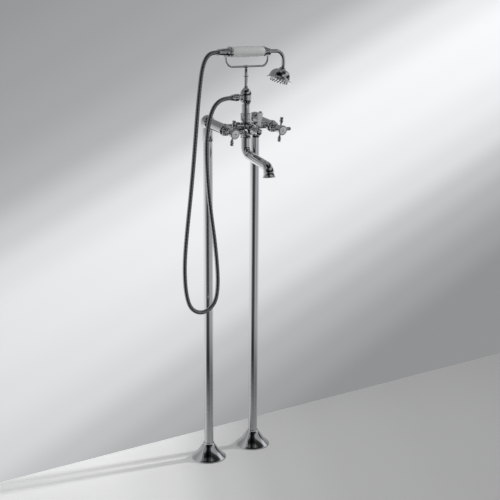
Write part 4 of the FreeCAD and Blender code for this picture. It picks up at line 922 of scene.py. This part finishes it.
dress(
    plain_material(
        "machined_brass", BRASS_LOW, BRASS_HIGH, roughness=0.28, scale=300.0, metallic=1.0
    ),
    "floor_socket_left",
    "floor_socket_right",
    "cartridge_left",
    "cartridge_right",
    "spindle_left",
    "spindle_right",
    "diverter_spindle",
    "grip_tube",
)
dress(
    plain_material("seal_rubber", RUBBER_LOW, RUBBER_HIGH, roughness=0.6, scale=700.0),
    "standpipe_seals",
    "spout_seals",
    "joint_washers",
)
dress(
    plain_material("lapped_ceramic", DISC_LOW, DISC_HIGH, roughness=0.35, scale=900.0),
    "fixed_discs",
    "turning_disc_left",
    "turning_disc_right",
)
dress(
    plain_material("screw_steel", STEEL_LOW, STEEL_HIGH, roughness=0.3, scale=800.0, metallic=1.0),
    "pipe_grub_screws",
    "handle_screw_left",
    "handle_screw_right",
)
dress(
    plain_material("former_plastic", PLASTIC_LOW, PLASTIC_HIGH, roughness=0.3, scale=400.0),
    "stream_former",
)

# ---- Rose of the handset: a bell-shaped shell of cast brass with a brim, chromed.
# The round plate that carries the nozzles is pressed into its mouth. It leans with its neck.

# the middle of its mouth, and how far its axis leans from upright
ROSE_MIDDLE = Vector((0.1064, FRONT_PLANE, 1.0130))
ROSE_LEAN = math.radians(21)
# radii, and heights over the mouth
ROSE = [
    (25.0, 0.0),
    (35.6, 0.0),
    (35.6, 1.8),
    (32.9, 3.4),
    (30.6, 6.2),
    (29.8, 9.0),
    (29.0, 13.0),
    (27.1, 18.2),
    (23.9, 22.8),
    (19.5, 26.4),
    (14.4, 28.8),
    (9.8, 30.0),
    (9.2, 30.4),
    (9.2, 34.0),
    (5.4, 34.0),
    (5.4, 28.0),
    (13.4, 26.8),
    (18.5, 24.4),
    (22.5, 21.4),
    (25.4, 17.4),
    (27.1, 12.6),
    (27.7, 6.0),
    (27.7, 3.0),
    (25.0, 3.0),
]
PLATE = [(0.0, -1.6), (23.7, -1.6), (24.7, -0.8), (24.9, 0.2), (24.9, 2.8), (0.0, 2.8)]
lean = Matrix.Translation(ROSE_MIDDLE) @ Matrix.Rotation(ROSE_LEAN, 4, "Y")
for name, node, outline in (
    ("rose_shell", "rose_body", ROSE),
    ("rose_face", "rose_plate", PLATE),
):
    shell = lathe(outline, steps=128)
    stand_in(shell, lean, name, node, cast_chrome, "handset", crisp=28)

# ---- Neck of the handset: brass tube, bent down from the grip's axis into the collar of the rose.
# It is pushed into the front ring and soldered there. Its bend is wider than the CAD model's.

# X where the tube leaves the ring and where it runs down, the radius of its bend, and its own
NECK_START, NECK_CORNER, NECK_BEND, NECK_RADIUS = 0.0655, 0.1205, 0.026, 0.0053
NECK_SIDES = 48
# the tube ends this far up in the rose, and its second, slight bend reaches this far either way
COLLAR_REACH, KNEE_REACH, KNEE_STEPS = 0.032, 0.006, 8


def neck_route():
    top = ROSE_MIDDLE + COLLAR_REACH * Vector((math.sin(ROSE_LEAN), 0, math.cos(ROSE_LEAN)))
    bend_middle = Vector((NECK_CORNER - NECK_BEND, FRONT_PLANE, GRIP_HEIGHT - NECK_BEND))
    route = [Vector((NECK_START, FRONT_PLANE, GRIP_HEIGHT))]
    for degrees in range(0, 91, 5):
        turn = math.radians(degrees)
        route.append(bend_middle + NECK_BEND * Vector((math.sin(turn), 0, math.cos(turn))))
    knee_height = top.z + (NECK_CORNER - top.x) / math.tan(ROSE_LEAN)
    knee = Vector((NECK_CORNER, FRONT_PLANE, knee_height))
    before = knee + Vector((0, 0, KNEE_REACH))
    after = knee + (top - knee).normalized() * KNEE_REACH
    for index in range(KNEE_STEPS + 1):
        share = index / KNEE_STEPS
        route.append(before.lerp(knee, share).lerp(knee.lerp(after, share), share))
    return route + [top]


def station(route, index):
    """Where a point of the route is, with Z along the route and Y sideways."""
    way = route[min(index + 1, len(route) - 1)] - route[max(index - 1, 0)]
    way.normalize()
    turn = Matrix((SIDEWAYS.cross(way), SIDEWAYS, way)).transposed().to_4x4()
    return Matrix.Translation(route[index]) @ turn


def neck():
    route = neck_route()
    form = bmesh.new()
    here = station(route, 0)
    bmesh.ops.create_circle(
        form, cap_ends=True, segments=NECK_SIDES, radius=NECK_RADIUS, matrix=here
    )
    ring = list(form.edges)
    for index in range(1, len(route)):
        there = station(route, index)
        made = bmesh.ops.extrude_edge_only(form, edges=ring)["geom"]
        verts = [part for part in made if isinstance(part, bmesh.types.BMVert)]
        bmesh.ops.transform(form, matrix=there @ here.inverted(), verts=verts)
        ring = [
            part
            for part in made
            if isinstance(part, bmesh.types.BMEdge) and all(end in verts for end in part.verts)
        ]
        here = there
    bmesh.ops.holes_fill(form, edges=ring, sides=0)
    bmesh.ops.recalc_face_normals(form, faces=form.faces)
    return form


as_made = Matrix.Identity(4)
name, node = "swept_neck", "handset_neck"
stand_in(neck(), as_made, name, node, cast_chrome, "handset", crisp=40)

# ---- Nozzles of the rose: 37 soft dark nubs of rubber in rings, moulded and set in the plate.
# They stand out of it, so that lime can be rubbed off them.

# each ring's radius, and how many nozzles are on it
NOZZLE_RINGS = [(0.0, 1), (0.0078, 6), (0.0156, 12), (0.0222, 18)]
NUB_HEIGHT, NUB_MIDDLE, NUB_FOOT, NUB_TIP, NUB_SIDES = 0.0018, -0.0021, 0.0014, 0.0011, 16
nubs = bmesh.new()
for radius, count in NOZZLE_RINGS:
    for index in range(count):
        around = 2 * math.pi * index / count
        spot = (radius * math.cos(around), radius * math.sin(around), NUB_MIDDLE)
        bmesh.ops.create_cone(
            nubs,
            cap_ends=True,
            segments=NUB_SIDES,
            radius1=NUB_TIP,
            radius2=NUB_FOOT,
            depth=NUB_HEIGHT,
            matrix=lean @ Matrix.Translation(spot),
        )
NUB_LOW, NUB_HIGH = (0.05, 0.05, 0.055), (0.09, 0.09, 0.095)
nozzle_rubber = plain_material("nozzle_rubber", NUB_LOW, NUB_HIGH, roughness=0.5, scale=700.0)
nozzles = finish_mesh(nubs, "rose_nozzles", nozzle_rubber, "handset")
sharpen(nozzles, crisp=35)

# ---- Index marks: a plain H on the left disc and a plain C on the right one.
# Dark enamel, printed on the glaze and fired into it.

MARK_SIZE, MARK_DEPTH = 0.008, 0.0002
# the middle of each disc's face
DISC_Y, DISC_Z = -0.1189, 0.8921
MARK_LETTER = {"left": "H", "right": "C"}
MARK_LOW, MARK_HIGH = (0.10, 0.10, 0.11), (0.16, 0.16, 0.17)
glaze_mark = plain_material("glaze_mark", MARK_LOW, MARK_HIGH, roughness=0.3, scale=500.0)
for word, side in SIDES:
    text = bpy.data.curves.new(f"mark_{word}", "FONT")
    text.body = MARK_LETTER[word]
    text.size, text.extrude = MARK_SIZE, MARK_DEPTH
    text.align_x, text.align_y = "CENTER", "CENTER"
    carrier = bpy.data.objects.new(f"mark_{word}", text)
    flat = bpy.data.meshes.new_from_object(carrier)
    bpy.data.objects.remove(carrier)
    bpy.data.curves.remove(text)
    mark = bmesh.new()
    mark.from_mesh(flat)
    bpy.data.meshes.remove(flat)
    place = Matrix.Translation((side * PIPE_X, DISC_Y, DISC_Z)) @ facing
    bmesh.ops.transform(mark, matrix=place, verts=mark.verts)
    finish_mesh(mark, f"index_mark_{word}", glaze_mark, HANDLE_BODY[word], smooth=False)
